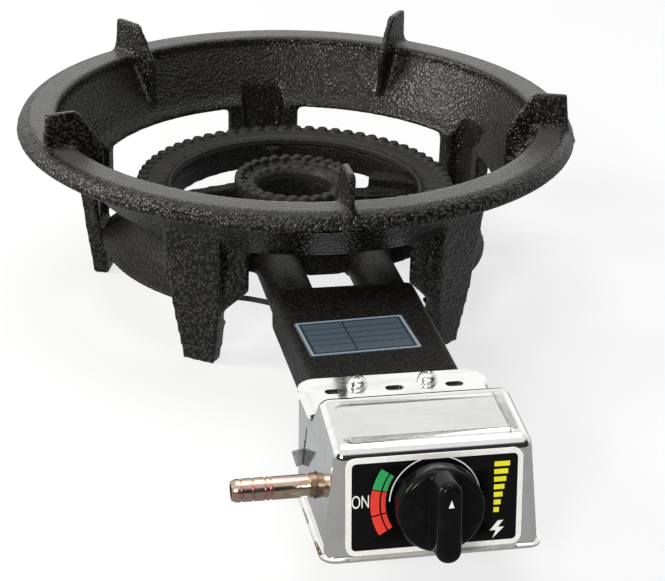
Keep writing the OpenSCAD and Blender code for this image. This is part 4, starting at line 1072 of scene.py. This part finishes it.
class COOKER_OT_gas_inlet(Operator):
    """Turns the gas inlet pipe with its collar and grip grooves"""

    bl_idname = "cooker.gas_inlet"
    bl_label = "Gas inlet"

    def execute(self, context):
        sizes, colours = settings(context)
        gold = yellow_passivate("yellow_passivate", colours)
        dark = brushed_metal("collar_steel", (0.24, 0.17, 0.12), 0.3, (6, 1, 1))
        bore, tail, collar_end, groove_depth = 3.25, 5.25, 50.0, 0.42
        profile = [(bore, 13.5), (4.95, 13.5), (4.95, 24.5), (8.25, 24.5), (8.25, 30.5)]
        profile += [(5.6, 30.5), (5.6, 49.6), (5.1, collar_end), (tail, 50.5)]
        for groove in (67.4, 69.8, 75.4, 80.6):
            for share, along in ((0, -0.55), (1, -0.2), (1, 0.2), (0, 0.55)):
                profile.append((tail - share * groove_depth, groove + along))
        profile += [(tail, 82.6), (tail - 0.25, 83.6), (tail - 0.9, 85.0), (bore, 85.0)]
        profile += [(bore, 13.5)]
        bm = bmesh.new()
        turned(bm, profile, sizes.steps)
        for face in bm.faces:
            if face.calc_center_median().z < collar_end:
                face.material_index = 1
        pipe = draw("gas_inlet_turned", bm, [gold, dark], PIPE, 30)
        keep(pipe, "root", "yellow_zinc_pipe", "gas_inlet_pipe")
        return {"FINISHED"}


class COOKER_OT_springs_and_lead(Operator):
    """Winds the two springs and lays the igniter's lead along its clips"""

    bl_idname = "cooker.springs_and_lead"
    bl_label = "Springs and lead"

    def execute(self, context):
        steel = brushed_metal("spring_wire", (0.55, 0.55, 0.56), 0.3)
        jacket = soft_rubber("lead_jacket")
        turns = coil(radius=4.2, low=-5.0, high=6.5, turns=5)
        spindle = wire("spindle_spring_wound", turns, 0.45, steel, FACE)
        keep(spindle, "valve_unit", "spring_steel", "spindle_spring")
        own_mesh(spindle)
        behind = -6.75
        place = FACE @ at(0, 0, behind) @ spun(90, "Y")
        turns = coil(radius=1.7, low=29.35, high=36.15, turns=6)
        hammer = wire("hammer_spring_wound", turns, 0.3, steel, place)
        keep(hammer, "root", "spring_steel", "hammer_spring")
        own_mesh(hammer)
        start = RING.inverted() @ FACE @ Vector((36, -9, behind))
        end = spun(-33, "Z") @ Vector((0, -101.07, 38.5))
        route = [
            start, start + Vector((0, 0.3, -5)), (35.5, -334, 33), (33, -322, 31.6),
            (26, -306, 31.5), (12, -290, 31.6), (-4, -278, 31.8), (-17, -268, 33),
            (-23.5, -258, 35.2), (-25, -248, 36.2), (-25, -200, 36.2), (-25, -150, 36.2),
            (-25, -122, 36.2), (-29, -106, 35.6), (-40, -94, 34.2), (-50, -87, 33.2),
            (end.x + 0.5, end.y - 0.3, 35), end
        ]
        lead = wire("ignition_lead_laid", through(route, 8), 1.5, jacket, RING, 4)
        keep(lead, "root", "lead_silicone", "ignition_lead")
        return {"FINISHED"}


class COOKER_OT_inner_parts(Operator):
    """Gives the frame's own parts their metals, plastics and ceramics"""

    bl_idname = "cooker.inner_parts"
    bl_label = "Inner parts"

    def execute(self, context):
        zinc = brushed_metal("zinc_sheet", (0.62, 0.63, 0.64), 0.34, (1, 4, 1))
        plated = brushed_metal("plated_strip", (0.33, 0.34, 0.35), 0.3, (1, 1, 4), 0.6)
        screw = brushed_metal("fastener_zinc", (0.66, 0.66, 0.64), 0.28, (1, 1, 1))
        steel = brushed_metal("spindle_steel", (0.50, 0.50, 0.51), 0.26)
        brass = brushed_metal("turned_brass", (0.78, 0.57, 0.27), 0.24)
        cast = brushed_metal("cast_brass", (0.62, 0.46, 0.24), 0.42, (1, 1, 1))
        ivory = moulded_plastic("ivory_plastic", (0.62, 0.58, 0.46), 0.35)
        rubber = soft_rubber("gasket_rubber")
        cam = moulded_plastic("cam_plastic", (0.55, 0.10, 0.05), 0.35)
        wear = {
            zinc: ("box_base_plate", "valve_cover", "electrode_bracket", "lead_clips"),
            plated: ("air_shutter_left", "air_shutter_right"),
            screw: (
                "base_plate_screws", "valve_cover_screws", "manifold_bolts", "igniter_screws",
                "electrode_screw",
            ),
            steel: ("valve_spindle", "spindle_pin", "electrode_rod"),
            brass: ("valve_plug", "injector_left", "injector_right"),
            cast: ("valve_body", "gas_manifold"),
            ivory: ("igniter_case", "igniter_plunger"),
            cam: ("striker_cam",),
            rubber: ("inlet_gasket",),
            glazed_ceramic("glazed_ceramic"): ("electrode_sleeve",),
        }
        for finish, nodes in wear.items():
            for node in nodes:
                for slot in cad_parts[node].material_slots:
                    slot.material = finish
        return {"FINISHED"}


PIECES = (
    COOKER_OT_stage, COOKER_OT_castings, COOKER_OT_flame_rings, COOKER_OT_control_box,
    COOKER_OT_faceplate, COOKER_OT_rating_plate, COOKER_OT_knob, COOKER_OT_fasteners,
    COOKER_OT_gas_inlet, COOKER_OT_springs_and_lead, COOKER_OT_inner_parts,
)


class COOKER_PT_panel(Panel):
    """Lists the cooker's pieces, sizes and colours"""

    bl_label = "Cooker"
    bl_idname = "COOKER_PT_panel"
    bl_space_type = "VIEW_3D"
    bl_region_type = "UI"
    bl_category = "Cooker"

    def draw(self, context):
        for piece in PIECES:
            self.layout.operator(piece.bl_idname)
        for group in settings(context):
            column = self.layout.column()
            for name in group.__annotations__:
                column.prop(group, name)


CLASSES = (CookerSizes, CookerColours, *PIECES, COOKER_PT_panel)


def register():
    for item in CLASSES:
        bpy.utils.register_class(item)
    bpy.types.Scene.cooker_sizes = PointerProperty(type=CookerSizes)
    bpy.types.Scene.cooker_colours = PointerProperty(type=CookerColours)


def unregister():
    del bpy.types.Scene.cooker_sizes
    del bpy.types.Scene.cooker_colours
    for item in reversed(CLASSES):
        bpy.utils.unregister_class(item)


def main():
    register()
    for piece in PIECES:
        group, name = piece.bl_idname.split(".")
        getattr(getattr(bpy.ops, group), name)()


if __name__ == "__main__":
    main()
